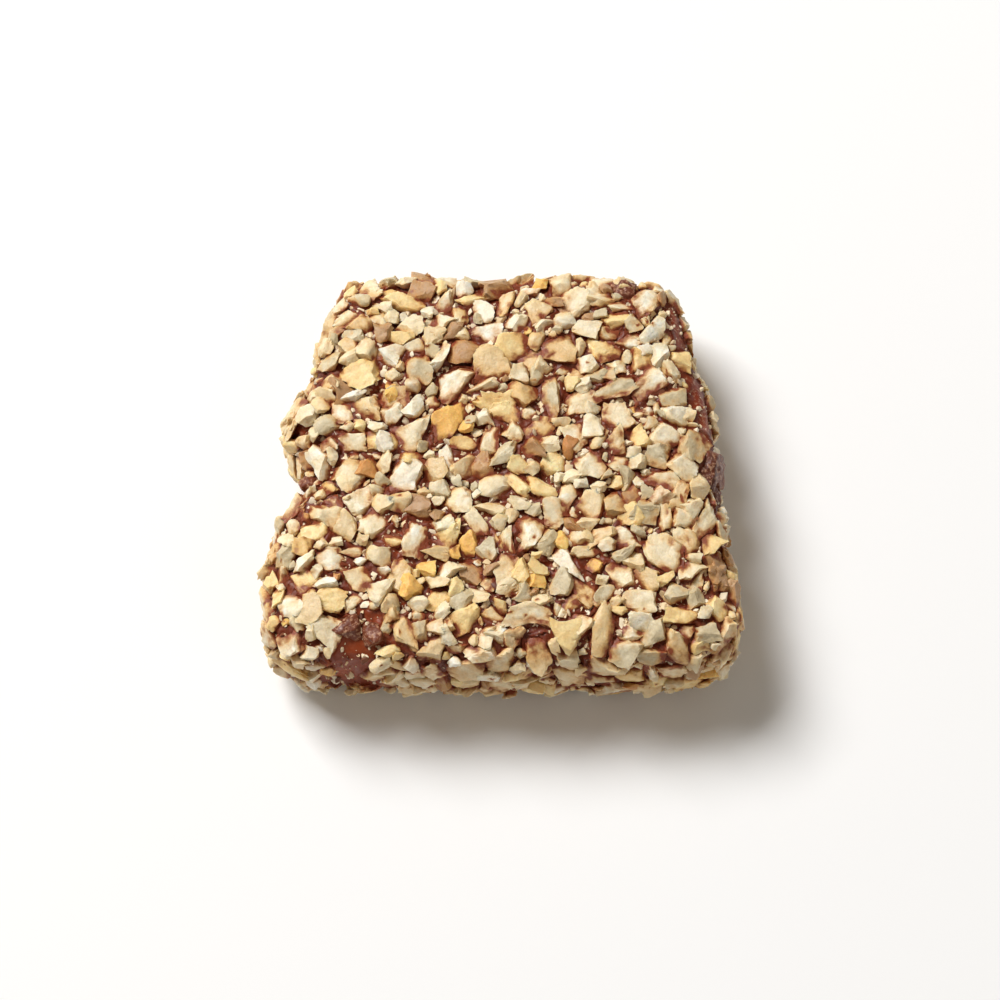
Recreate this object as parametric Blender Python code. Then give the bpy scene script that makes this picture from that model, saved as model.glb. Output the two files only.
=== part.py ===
"""A square of english toffee, coated in milk chocolate and rolled in chopped nuts.

One solid: an uneven hand-cut slab with round edges, and the larger nut chips fused into its
skin all round. Metres, +Z up. The origin is under the middle of the piece, where it rests.
"""
import math
import random
from collections import namedtuple

import bmesh
import bpy
from mathutils import Matrix, Vector

MM = 0.001

# The slab of coated toffee, without its nuts
SLAB_TOP = 11.55 * MM
SLAB_BOTTOM = 0.95 * MM
# Each side: how far it stands from the middle, and the bearing it faces, from +X round to +Y
SIDES = {
    "right": (17.5 * MM, 10.4),
    "back": (18.1 * MM, 90.0),
    "left": (18.2 * MM, 167.6),
    "front": (17.6 * MM, 270.0),
}
CORNER_SHARPNESS = 9.0
EDGE_SQUARENESS = 6.0
# Where the hand-cut edge swells out or draws in: bearing, half width in degrees, amount
EDGE_SWELLS = {
    "right_side_belly": (20.0, 15.0, 1.1 * MM),
    "left_shoulder": (166.0, 7.0, 1.2 * MM),
    "left_waist": (184.0, 7.5, -2.6 * MM),
    "back_dip": (92.0, 9.0, -0.8 * MM),
    "front_left_corner_worn": (215.0, 9.0, -1.3 * MM),
    "front_right_corner_worn": (-40.0, 8.0, -0.5 * MM),
    "back_right_corner_full": (48.0, 8.0, 0.5 * MM),
}
FACE_WAVE = 0.22 * MM
FACE_WAVE_LENGTH = 17.0 * MM
SLAB_CELLS_ACROSS = 8
SLAB_CELLS_UP = 3

# A drip of chocolate that set on the right-hand edge, with no nuts on it
DRIP_PLACE = Vector((18.0 * MM, 0.4 * MM, 8.8 * MM))
DRIP_SIZE = Vector((1.5 * MM, 2.1 * MM, 2.3 * MM))

# Places that the nuts missed: the middle of each and how far it reaches
BARE_PLACES = (
    (DRIP_PLACE, 2.3 * MM),
    (Vector((18.6 * MM, 4.6 * MM, 10.2 * MM)), 1.9 * MM),
    (Vector((18.2 * MM, 7.4 * MM, 10.4 * MM)), 2.1 * MM),
    (Vector((17.6 * MM, 9.8 * MM, 10.4 * MM)), 2.1 * MM),
    (Vector((16.9 * MM, 12.2 * MM, 10.4 * MM)), 2.1 * MM),
    (Vector((16.0 * MM, 14.8 * MM, 10.4 * MM)), 1.9 * MM),
    (Vector((-13.6 * MM, -17.6 * MM, 5.6 * MM)), 2.7 * MM),
    (Vector((-13.6 * MM, -17.0 * MM, 9.4 * MM)), 2.0 * MM),
)

# A nut chip: where it is set, its length, its width and thickness for a length of 1, how many
# breaks go round its side, and its turn in degrees
Chip = namedtuple("Chip", "place length width thickness side_breaks spin")

# The five chips that the piece rests on: x, y, length, width for a length of 1, breaks, turn
FOOT_CHIPS = {
    "middle_foot": (0.0, 0.0, 3.6 * MM, 0.80, 5, 20.0),
    "front_left_foot": (-12.6 * MM, -12.4 * MM, 3.6 * MM, 0.78, 4, 50.0),
    "front_right_foot": (13.4 * MM, -12.6 * MM, 3.6 * MM, 0.80, 5, -35.0),
    "back_right_foot": (13.0 * MM, 12.2 * MM, 3.6 * MM, 0.74, 4, 40.0),
    "back_left_foot": (-12.8 * MM, 11.8 * MM, 3.6 * MM, 0.82, 5, -50.0),
}
# How much is worn off a foot's tip, so that it stands flat
FOOT_WEAR = 0.25 * MM

# The chips that catch the eye on the top, in the same form
TOP_CHIPS = {
    "oval_flake": (-4.5 * MM, 7.7 * MM, 4.9 * MM, 0.47, 7, 35.0),
    "long_flake": (10.0 * MM, 7.3 * MM, 4.6 * MM, 0.40, 6, 20.0),
    "tall_chip": (8.5 * MM, -15.2 * MM, 4.6 * MM, 0.60, 6, 90.0),
    "broad_chunk": (-7.7 * MM, -6.8 * MM, 4.0 * MM, 0.67, 5, 95.0),
    "arched_chip": (2.2 * MM, -14.2 * MM, 3.9 * MM, 0.52, 5, -4.0),
    "right_lower_oval": (14.4 * MM, -8.7 * MM, 3.8 * MM, 0.72, 6, -60.0),
    "grey_crescent": (4.1 * MM, 6.4 * MM, 3.7 * MM, 0.48, 5, 97.0),
    "split_halves": (2.2 * MM, -6.6 * MM, 3.7 * MM, 0.70, 5, 60.0),
    "right_upper_block": (13.0 * MM, 7.8 * MM, 3.7 * MM, 0.62, 4, 50.0),
    "pale_wedge": (-9.1 * MM, -1.5 * MM, 3.6 * MM, 0.78, 3, 20.0),
    "white_ridge": (5.5 * MM, -9.0 * MM, 3.6 * MM, 0.44, 5, -45.0),
    "shield": (9.9 * MM, 4.2 * MM, 3.6 * MM, 0.68, 5, 100.0),
    "upright_block": (-1.3 * MM, 2.1 * MM, 3.4 * MM, 0.60, 4, 90.0),
    "far_right_wedge": (17.6 * MM, -5.2 * MM, 3.4 * MM, 0.60, 3, 60.0),
    "yellow_bar": (15.6 * MM, -14.0 * MM, 3.3 * MM, 0.48, 4, 5.0),
    "golden_orange": (-5.3 * MM, 3.7 * MM, 3.3 * MM, 0.62, 4, 70.0),
    "stained_left": (-12.8 * MM, 8.4 * MM, 3.2 * MM, 0.70, 4, 30.0),
    "olive_crescent": (3.1 * MM, -2.2 * MM, 3.2 * MM, 0.52, 5, -25.0),
    "lower_right_slab": (10.2 * MM, -6.6 * MM, 3.2 * MM, 0.62, 4, -5.0),
    "tilted_left": (-10.3 * MM, 10.3 * MM, 3.1 * MM, 0.62, 4, -40.0),
    "crescent": (1.2 * MM, -1.7 * MM, 3.1 * MM, 0.48, 5, -50.0),
    "mid_left": (-11.0 * MM, -5.4 * MM, 3.0 * MM, 0.72, 4, 40.0),
    "left_low_big": (-15.4 * MM, -9.2 * MM, 3.0 * MM, 0.80, 5, 10.0),
    "golden_pentagon": (0.4 * MM, 11.0 * MM, 2.9 * MM, 0.85, 5, 20.0),
    "yellow_square": (8.5 * MM, 11.1 * MM, 2.9 * MM, 0.85, 4, 15.0),
    "star_chip": (-4.1 * MM, -3.2 * MM, 2.8 * MM, 0.82, 5, 0.0),
    "left_upper_grey": (-15.6 * MM, 9.8 * MM, 2.8 * MM, 0.80, 5, 0.0),
    "white_top": (-1.6 * MM, 12.8 * MM, 2.8 * MM, 0.75, 5, 20.0),
    "chunk_low": (12.0 * MM, -12.7 * MM, 2.8 * MM, 0.85, 5, 0.0),
    "left_pentagon": (-13.6 * MM, 2.3 * MM, 2.7 * MM, 0.85, 5, 0.0),
    "right_upper_round": (15.0 * MM, 6.3 * MM, 2.7 * MM, 0.88, 6, 0.0),
    "disc": (-2.9 * MM, -10.0 * MM, 2.5 * MM, 0.92, 6, 0.0),
    "round_yellow": (10.2 * MM, 0.4 * MM, 2.4 * MM, 0.90, 6, 0.0),
    "round_orange": (4.4 * MM, 0.1 * MM, 2.4 * MM, 0.90, 6, 0.0),
}
NAMED_CHIP_THICKNESS = 0.46

# The other chips, largest first: shortest, longest, how many, and whether one may cross the rim
CHIP_SEED = 41
CHIP_SIZES = (
    (3.3 * MM, 4.3 * MM, 36, False),
    (2.5 * MM, 3.3 * MM, 208, True),
)
CHIP_TRIES = 14
RIM_LEANS = (0.12, 0.93)
# How much of its own height a chip shows above the chocolate, and never more than this
CHIP_SHOWS = (0.50, 0.72)
CHIP_HIGHEST = 1.15 * MM
CHIP_TILT = 11.0
FLAT_SHARE_OF_SKIN = 0.64
# The other chips under the slab are worn flat this far above the surface that it rests on
WORN_ABOVE_FEET = (0.28 * MM, 0.46 * MM)

# Chip families: width and thickness for a length of 1, and how many breaks go round the side
CHIP_FAMILIES = {
    "block": (0.86, 0.62, 4),
    "flake": (0.80, 0.40, 5),
    "wedge": (0.82, 0.56, 3),
    "sliver": (0.54, 0.44, 4),
}
# How far from a chip's middle its breaks run, where 1 is half its length, width or thickness
SIDE_BREAK_DEPTH = (0.74, 1.00)
FLAT_BREAK_DEPTH = (0.85, 1.00)
CORNER_BREAK_DEPTH = (0.84, 1.05)
CORNER_BREAKS = 1
FLAT_BREAK_SLANT = 0.20
UNCUT_BLOCK_SIZE = 2.6
SHORTEST_EDGE = 0.08
# A face that looks this far towards +X or -X takes its chips' turns from +Y and not from +X
STEEPEST_TOWARDS_X = 0.8

# Finishes: colour, roughness
MILK_CHOCOLATE = ((0.168, 0.060, 0.034, 1.0), 0.42)
BLANCHED_NUT = ((0.760, 0.610, 0.340, 1.0), 0.60)


def reach(bearing):
    """How far the slab stands out from its middle on a bearing, in radians."""
    crowding = 0.0
    for distance, facing in SIDES.values():
        towards = math.cos(bearing - math.radians(facing))
        if towards > 0.0:
            crowding += (towards / distance) ** CORNER_SHARPNESS
    out = crowding ** (-1.0 / CORNER_SHARPNESS)
    for middle, half_width, amount in EDGE_SWELLS.values():
        apart = math.degrees(bearing) - middle
        apart = (apart + 180.0) % 360.0 - 180.0
        out += amount * math.exp(-((apart / half_width) ** 2))
    return out


def half_thickness(x, y):
    """Half the slab's thickness at a place, with the slow waves of a dipped face."""
    wave = math.sin(x / FACE_WAVE_LENGTH * math.tau + 0.7)
    wave += math.sin(y / FACE_WAVE_LENGTH * math.tau + x / FACE_WAVE_LENGTH * 2.0)
    return (SLAB_TOP - SLAB_BOTTOM) / 2.0 + FACE_WAVE * wave / 2.0


def on_slab(u, v, w):
    """Lay a point of a cube's skin, which runs from -1 to 1, on to the slab."""
    bearing = math.atan2(v, u)
    outwards = max(abs(u), abs(v))
    shrink = (outwards**EDGE_SQUARENESS + abs(w) ** EDGE_SQUARENESS) ** (-1.0 / EDGE_SQUARENESS)
    radius = reach(bearing) * outwards * shrink
    x = radius * math.cos(bearing)
    y = radius * math.sin(bearing)
    z = (SLAB_TOP + SLAB_BOTTOM) / 2.0 + w * shrink * half_thickness(x, y)
    return Vector((x, y, z))


def on_face(x, y, side):
    """The place on the top, side 1, or on the underside, side -1, that lies over a point."""
    flat = math.hypot(x, y) / reach(math.atan2(y, x))
    rise = (1.0 - flat**EDGE_SQUARENESS) ** (1.0 / EDGE_SQUARENESS)
    return Vector((x, y, (SLAB_TOP + SLAB_BOTTOM) / 2.0 + side * rise * half_thickness(x, y)))


def depth_measure(place):
    """Exactly 1 on the slab's skin, less inside and more outside."""
    radius = math.hypot(place.x, place.y)
    flat = radius / reach(math.atan2(place.y, place.x))
    height = place.z - (SLAB_TOP + SLAB_BOTTOM) / 2.0
    upright = abs(height) / half_thickness(place.x, place.y)
    return flat**EDGE_SQUARENESS + upright**EDGE_SQUARENESS


def outward(place):
    """The direction that points straight out of the slab's skin at a place."""
    step = 0.05 * MM
    slope = Vector()
    for axis in range(3):
        nudge = Vector()
        nudge[axis] = step
        slope[axis] = depth_measure(place + nudge) - depth_measure(place - nudge)
    return slope.normalized()


def is_bare(place):
    """Whether the nuts missed this place."""
    return any((place - middle).length < radius for middle, radius in BARE_PLACES)


def random_place(rng):
    """Any place on the slab's skin, about evenly over its faces and its sides."""
    point = [rng.uniform(-1.0, 1.0) for _ in range(3)]
    flat_face = rng.random() < FLAT_SHARE_OF_SKIN
    axis = 2 if flat_face else rng.choice((0, 1))
    point[axis] = rng.choice((-1.0, 1.0))
    return on_slab(*point)


def on_rim(place):
    """Whether the skin turns from a face to a side here, where a long chip would stick out."""
    return RIM_LEANS[0] < abs(outward(place).z) < RIM_LEANS[1]


def named_chips():
    """The feet, and then the chips that catch the eye on the top."""
    chips = []
    for table, side in ((FOOT_CHIPS, -1.0), (TOP_CHIPS, 1.0)):
        for x, y, length, width, side_breaks, spin in table.values():
            place = on_face(x, y, side)
            chips.append(Chip(place, length, width, NAMED_CHIP_THICKNESS, side_breaks, spin))
    return chips


def all_chips():
    """The named chips and then the others, largest first.

    Each of the others goes to the roomiest of several random places, which spreads them evenly.
    """
    rng = random.Random(CHIP_SEED)
    families = list(CHIP_FAMILIES.values())
    chips = named_chips()
    for shortest, longest, wanted, may_cross_rim in CHIP_SIZES:
        for _ in range(wanted):
            length = rng.uniform(shortest, longest)
            roomiest = None
            most_room = 0.0
            for _ in range(CHIP_TRIES):
                place = random_place(rng)
                room = min((place - c.place).length / (length + c.length) for c in chips)
                if room > most_room and not is_bare(place) and (may_cross_rim or not on_rim(place)):
                    most_room = room
                    roomiest = place
            width, thickness, side_breaks = families[len(chips) % len(families)]
            spin = rng.uniform(0.0, 360.0)
            chips.append(Chip(roomiest, length, width, thickness, side_breaks, spin))
    return chips


def chip_breaks(number, side_breaks):
    """The flat breaks of one chip: a direction and a depth for each."""
    rng = random.Random(number)
    breaks = []
    for number in range(side_breaks):
        bearing = math.tau * (number + rng.uniform(-0.30, 0.30)) / side_breaks
        lean = math.radians(rng.uniform(-24.0, 24.0))
        flat = math.cos(lean)
        towards = Vector((flat * math.cos(bearing), flat * math.sin(bearing), math.sin(lean)))
        breaks.append((towards, rng.uniform(*SIDE_BREAK_DEPTH)))
    for side in (1.0, -1.0):
        slants = [rng.uniform(-FLAT_BREAK_SLANT, FLAT_BREAK_SLANT) for _ in range(2)]
        towards = Vector((*slants, side))
        breaks.append((towards.normalized(), rng.uniform(*FLAT_BREAK_DEPTH)))
    for _ in range(CORNER_BREAKS):
        bearing = rng.uniform(0.0, math.tau)
        towards = Vector((math.cos(bearing), math.sin(bearing), rng.uniform(0.5, 1.0)))
        breaks.append((towards.normalized(), rng.uniform(*CORNER_BREAK_DEPTH)))
    return breaks


def break_off(kernel, place, towards):
    """Break off what lies beyond a plane, and close the break with one flat face."""
    everything = kernel.verts[:] + kernel.edges[:] + kernel.faces[:]
    bmesh.ops.bisect_plane(
        kernel, geom=everything, plane_co=place, plane_no=towards, clear_outer=True
    )
    rim = [edge for edge in kernel.edges if edge.is_boundary]
    bmesh.ops.holes_fill(kernel, edges=rim, sides=0)


def square_to(upright):
    """The turn that stands Z on a direction, with X as near as it can be to the slab's X."""
    sideways = Vector((1.0, 0.0, 0.0))
    if abs(upright.x) > STEEPEST_TOWARDS_X:
        sideways = Vector((0.0, 1.0, 0.0))
    sideways = (sideways - upright * sideways.dot(upright)).normalized()
    return Matrix((sideways, upright.cross(sideways), upright)).transposed()


def add_chip(mesh, number, chip):
    """Add one chip to the mesh: a block cut by its breaks, set into the slab's skin."""
    rng = random.Random(CHIP_SEED * 1000 + number)
    size = Vector((1.0, chip.width, chip.thickness)) * chip.length / 2.0
    shows = rng.uniform(*CHIP_SHOWS)
    tilts = [rng.uniform(-CHIP_TILT, CHIP_TILT) for _ in range(2)]
    worn_level = rng.uniform(*WORN_ABOVE_FEET)

    kernel = bmesh.new()
    bmesh.ops.create_cube(kernel, size=UNCUT_BLOCK_SIZE)
    for towards, depth in chip_breaks(number, chip.side_breaks):
        break_off(kernel, towards * depth, towards)
    bmesh.ops.dissolve_degenerate(kernel, edges=kernel.edges[:], dist=SHORTEST_EDGE)

    upright = outward(chip.place)
    turn = square_to(upright) @ Matrix.Rotation(math.radians(chip.spin), 3, "Z")
    turn = turn @ Matrix.Rotation(math.radians(tilts[0]), 3, "X")
    turn = turn @ Matrix.Rotation(math.radians(tilts[1]), 3, "Y")
    highest = max(vertex.co.z for vertex in kernel.verts) * size.z
    lowest = min(vertex.co.z for vertex in kernel.verts) * size.z
    proud = min(shows * (highest - lowest), CHIP_HIGHEST)
    if number < len(FOOT_CHIPS):
        proud = chip.place.z + FOOT_WEAR
        worn_level = 0.0
    middle = chip.place + upright * (proud - highest)
    for vertex in kernel.verts:
        stretched = Vector(a * b for a, b in zip(vertex.co, size))
        vertex.co = middle + turn @ stretched
    break_off(kernel, Vector((0.0, 0.0, worn_level)), Vector((0.0, 0.0, -1.0)))
    piece = bpy.data.meshes.new("chip")
    kernel.to_mesh(piece)
    mesh.from_mesh(piece)
    kernel.free()
    bpy.data.meshes.remove(piece)


def new_material(name, finish):
    """A food finish: a colour and how rough the surface is."""
    colour, roughness = finish
    material = bpy.data.materials.new(name)
    material.use_nodes = True
    shader = material.node_tree.nodes["Principled BSDF"]
    shader.inputs["Base Color"].default_value = colour
    shader.inputs["Roughness"].default_value = roughness
    shader.inputs["Metallic"].default_value = 0.0
    return material


def new_object(name, mesh, material, collection):
    """Turn a bmesh into an object of a collection."""
    data = bpy.data.meshes.new(name)
    bmesh.ops.recalc_face_normals(mesh, faces=mesh.faces[:])
    mesh.to_mesh(data)
    mesh.free()
    data.materials.append(material)
    thing = bpy.data.objects.new(name, data)
    collection.objects.link(thing)
    return thing


def new_collection(name):
    collection = bpy.data.collections.new(name)
    bpy.context.scene.collection.children.link(collection)
    return collection


def make_slab(chocolate, collection):
    """The coated slab: a cube with cells on its faces, each corner laid on the slab's form."""
    mesh = bmesh.new()
    bmesh.ops.create_cube(mesh, size=2.0)
    upright = [e for e in mesh.edges if abs(e.verts[0].co.z - e.verts[1].co.z) > 1.0]
    bmesh.ops.subdivide_edges(mesh, edges=upright, cuts=SLAB_CELLS_UP - 1, use_grid_fill=True)
    for axis in (0, 1):
        along = [e for e in mesh.edges if abs(e.verts[0].co[axis] - e.verts[1].co[axis]) > 1.0]
        bmesh.ops.subdivide_edges(
            mesh, edges=along, cuts=SLAB_CELLS_ACROSS - 1, use_grid_fill=True
        )
    for vertex in mesh.verts:
        vertex.co = on_slab(*vertex.co)
    return new_object("toffee_square", mesh, chocolate, collection)


def make_drip(chocolate, collection):
    """The lump of set chocolate on the right-hand edge."""
    mesh = bmesh.new()
    place = Matrix.LocRotScale(DRIP_PLACE, None, DRIP_SIZE)
    bmesh.ops.create_icosphere(mesh, subdivisions=2, radius=1.0, matrix=place)
    new_object("drip", mesh, chocolate, collection)


def make_chips(nut, collection):
    """Every chip as an object of its own, for one union with the slab."""
    for number, chip in enumerate(all_chips()):
        mesh = bmesh.new()
        add_chip(mesh, number, chip)
        new_object(f"chip_{number:03d}", mesh, nut, collection)


def fuse(slab, collection):
    """Join the slab and everything in a collection into one skin, then drop the loose pieces."""
    union = slab.modifiers.new("fuse_nuts", "BOOLEAN")
    union.operation = "UNION"
    union.operand_type = "COLLECTION"
    union.collection = collection
    union.solver = "EXACT"
    union.material_mode = "TRANSFER"
    evaluated = slab.evaluated_get(bpy.context.evaluated_depsgraph_get())
    fused = bpy.data.meshes.new_from_object(evaluated)
    slab.modifiers.clear()
    slab.data = fused
    for thing in list(collection.objects):
        bpy.data.objects.remove(thing)
    bpy.data.collections.remove(collection)


def keep_one_skin(slab):
    """Drop loose scraps and the walls of sealed hollows: all but the largest connected skin.

    Two skins that only touch along an edge are not connected.
    """
    mesh = bmesh.new()
    mesh.from_mesh(slab.data)
    waiting = set(mesh.faces)
    skins = []
    while waiting:
        edge_of_search = [waiting.pop()]
        skin = set(edge_of_search)
        while edge_of_search:
            for edge in edge_of_search.pop().edges:
                if not edge.is_manifold:
                    continue
                found = waiting.intersection(edge.link_faces)
                waiting -= found
                skin |= found
                edge_of_search.extend(found)
        skins.append(skin)
    skins.sort(key=len)
    for skin in skins[:-1]:
        bmesh.ops.delete(mesh, geom=list(skin), context="FACES")
    bmesh.ops.triangulate(mesh, faces=mesh.faces[:])
    mesh.to_mesh(slab.data)
    mesh.free()


def main():
    for thing in list(bpy.data.objects):
        bpy.data.objects.remove(thing)
    sweet = new_collection("english_toffee")
    toppings = new_collection("toppings")
    chocolate = new_material("milk_chocolate", MILK_CHOCOLATE)
    nut = new_material("chopped_nuts", BLANCHED_NUT)
    slab = make_slab(chocolate, sweet)
    make_drip(chocolate, toppings)
    make_chips(nut, toppings)
    fuse(slab, toppings)
    keep_one_skin(slab)
    slab.data.shade_flat()


main()
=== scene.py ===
# %% [markdown]
# # A square of english toffee, in its nuts
# The real piece is a slab of hard toffee, dipped in milk chocolate and rolled in chopped
# nuts while the chocolate was still soft. Almost everything that the eye meets is nut: more
# than twelve hundred broken chips, with brown chocolate in the gaps.
# This lesson builds that surface from the inside out: first the form of the slab, then the
# large chips, the smaller ones that fill in between, the chocolate, the crumbs, and last the
# finishes and the light. All sizes are in metres, and every random draw is seeded.

# %% Load the frame
import math
import random
from collections import namedtuple

import bmesh
import bpy
import numpy as np
from mathutils import Matrix, Vector
from mathutils.bvhtree import BVHTree
from mathutils.kdtree import KDTree


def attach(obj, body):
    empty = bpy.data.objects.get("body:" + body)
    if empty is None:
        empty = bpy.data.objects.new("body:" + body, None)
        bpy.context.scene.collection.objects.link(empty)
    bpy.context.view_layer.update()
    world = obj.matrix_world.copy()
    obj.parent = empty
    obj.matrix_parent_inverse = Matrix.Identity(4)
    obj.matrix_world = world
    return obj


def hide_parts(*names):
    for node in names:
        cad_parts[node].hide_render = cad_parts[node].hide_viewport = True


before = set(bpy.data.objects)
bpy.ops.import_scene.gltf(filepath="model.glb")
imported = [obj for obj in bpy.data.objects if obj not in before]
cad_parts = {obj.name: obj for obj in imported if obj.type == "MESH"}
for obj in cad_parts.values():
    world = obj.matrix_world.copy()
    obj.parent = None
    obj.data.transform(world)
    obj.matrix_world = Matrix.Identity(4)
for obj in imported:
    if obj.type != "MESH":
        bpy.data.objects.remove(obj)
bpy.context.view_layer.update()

MM = 0.001

# %% [markdown]
# ## The form of the slab
# A hand-cut slab is nearly a square with soft corners, but no side of it is straight. One way
# to model it would be to push a cube about by eye. Here it is a formula instead: four sides at
# their own distances and bearings, blended into round corners, plus a few swells where the
# knife wandered. The same formula gave the solid its shape, so what is laid on it fits.

# %% The outline, seen from above
SIDES = {
    "right": (17.5 * MM, 10.4),
    "back": (18.1 * MM, 90.0),
    "left": (18.2 * MM, 167.6),
    "front": (17.6 * MM, 270.0),
}
CORNER_SHARPNESS = 9.0
EDGE_SWELLS = {
    "right_side_belly": (20.0, 15.0, 1.1 * MM),
    "left_shoulder": (166.0, 7.0, 1.2 * MM),
    "left_waist": (184.0, 7.5, -2.6 * MM),
    "back_dip": (92.0, 9.0, -0.8 * MM),
    "front_left_corner_worn": (215.0, 9.0, -1.3 * MM),
    "front_right_corner_worn": (-40.0, 8.0, -0.5 * MM),
    "back_right_corner_full": (48.0, 8.0, 0.5 * MM),
}


def reach(bearing):
    """How far the slab stands out from its middle on a bearing, in radians."""
    crowding = 0.0
    for distance, facing in SIDES.values():
        towards = np.maximum(np.cos(bearing - math.radians(facing)), 0.0)
        crowding = crowding + (towards / distance) ** CORNER_SHARPNESS
    out = crowding ** (-1.0 / CORNER_SHARPNESS)
    for middle, half_width, amount in EDGE_SWELLS.values():
        apart = (np.degrees(bearing) - middle + 180.0) % 360.0 - 180.0
        out = out + amount * np.exp(-((apart / half_width) ** 2))
    return out


print("it reaches", round(reach(0.0) / MM, 1), "mm to the right")

# %% [markdown]
# The faces of a dipped slab are never flat either, so the thickness carries two slow waves.
# `on_slab` takes a point on the skin of a cube and lays it on the slab: a cube is easy to cut
# into even cells, and this keeps them even on the rounded form too.

# %% The faces and the rounded edge
SLAB_TOP = 11.55 * MM
SLAB_BOTTOM = 0.95 * MM
SLAB_MIDDLE = (SLAB_TOP + SLAB_BOTTOM) / 2.0
EDGE_SQUARENESS = 6.0
FACE_WAVE = 0.22 * MM
FACE_WAVE_LENGTH = 17.0 * MM
FACE_WAVE_START = 0.7
FACE_WAVE_SLANT = 2.0


def half_thickness(x, y):
    """Half the slab's thickness at a place, with the slow waves of a dipped face."""
    wave = np.sin(x / FACE_WAVE_LENGTH * math.tau + FACE_WAVE_START)
    wave = wave + np.sin(y / FACE_WAVE_LENGTH * math.tau + x / FACE_WAVE_LENGTH * FACE_WAVE_SLANT)
    return (SLAB_TOP - SLAB_BOTTOM) / 2.0 + FACE_WAVE * wave / 2.0


def on_slab(u, v, w):
    """Lay points of a cube's skin, which runs from -1 to 1, on to the slab."""
    bearing = np.arctan2(v, u)
    outwards = np.maximum(np.abs(u), np.abs(v))
    shrink = (outwards**EDGE_SQUARENESS + np.abs(w) ** EDGE_SQUARENESS) ** (-1.0 / EDGE_SQUARENESS)
    radius = reach(bearing) * outwards * shrink
    x = radius * np.cos(bearing)
    y = radius * np.sin(bearing)
    return np.stack([x, y, SLAB_MIDDLE + w * shrink * half_thickness(x, y)], axis=-1)


def on_face(x, y, side):
    """The place on the top, side 1, or on the underside, side -1, that lies over a point."""
    flat = math.hypot(x, y) / reach(math.atan2(y, x))
    rise = (1.0 - flat**EDGE_SQUARENESS) ** (1.0 / EDGE_SQUARENESS)
    return np.array([x, y, SLAB_MIDDLE + side * rise * half_thickness(x, y)])


print("the middle of the top is at", round(on_face(0.0, 0.0, 1.0)[2] / MM, 2), "mm")

# %% [markdown]
# Chips are set square to the skin they lie on, so each place also needs the direction that
# points straight out of it. For a form that is a formula, that direction is the way in which
# the formula grows fastest, and two small steps along each axis are enough to find it.

# %% The way out of the skin
SMALL_STEP = 0.05 * MM


def depth_measure(place):
    """Exactly 1 on the slab's skin, less inside and more outside."""
    x, y, z = place[..., 0], place[..., 1], place[..., 2]
    flat = np.hypot(x, y) / reach(np.arctan2(y, x))
    upright = np.abs(z - SLAB_MIDDLE) / half_thickness(x, y)
    return flat**EDGE_SQUARENESS + upright**EDGE_SQUARENESS


def outward(place):
    """The direction that points straight out of the skin at a place, or at many places."""
    slopes = []
    for nudge in np.eye(3) * SMALL_STEP:
        slopes.append(depth_measure(place + nudge) - depth_measure(place - nudge))
    slope = np.stack(slopes, axis=-1)
    return slope / np.linalg.norm(slope, axis=-1, keepdims=True)


print("on the top it points", outward(on_face(0.0, 0.0, 1.0)).round(2))

# %% [markdown]
# ## Where the nuts missed
# On the real piece the right-hand edge shows a strip of bare chocolate with a set drip, and
# low on the front there is a smooth amber patch. Keeping these free of nuts is what makes the
# piece look rolled by hand, so they are named here before any chip is laid.

# %% Bare places
DRIP_PLACE = np.array([18.0, 0.4, 8.8]) * MM
DRIP_SIZE = np.array([1.5, 2.1, 2.3]) * MM
AMBER_PLACES = (((-13.6, -17.6, 5.6), 2.7), ((-13.6, -17.0, 9.4), 2.0))
BARE_PLACES = [
    (np.array(middle) * MM, radius * MM)
    for middle, radius in (
        ((18.0, 0.4, 8.8), 2.3),
        ((18.6, 4.6, 10.2), 1.9),
        ((18.2, 7.4, 10.4), 2.1),
        ((17.6, 9.8, 10.4), 2.1),
        ((16.9, 12.2, 10.4), 2.1),
        ((16.0, 14.8, 10.4), 1.9),
        *AMBER_PLACES,
    )
]
ABOVE_AMBER = (np.array([-12.8, -15.4, 10.9]) * MM, 2.0 * MM)
UNDER_THE_ARCH = (np.array([2.6, -15.8, 11.0]) * MM, 1.3 * MM)


def is_bare(place):
    """Whether the nuts missed this place."""
    return any(np.linalg.norm(place - middle) < radius for middle, radius in BARE_PLACES)


print(len(BARE_PLACES), "places stay bare")

# %% [markdown]
# ## The large chips
# A person remembers a handful of chips: the long oval flake, the tall one near the front, the
# golden ones. These have names, places and turns of their own. Five more under the slab are
# its feet. The rest follow a rule, the same rule as in the solid, so that every large chip of
# this surface lies where the solid has one.

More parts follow.
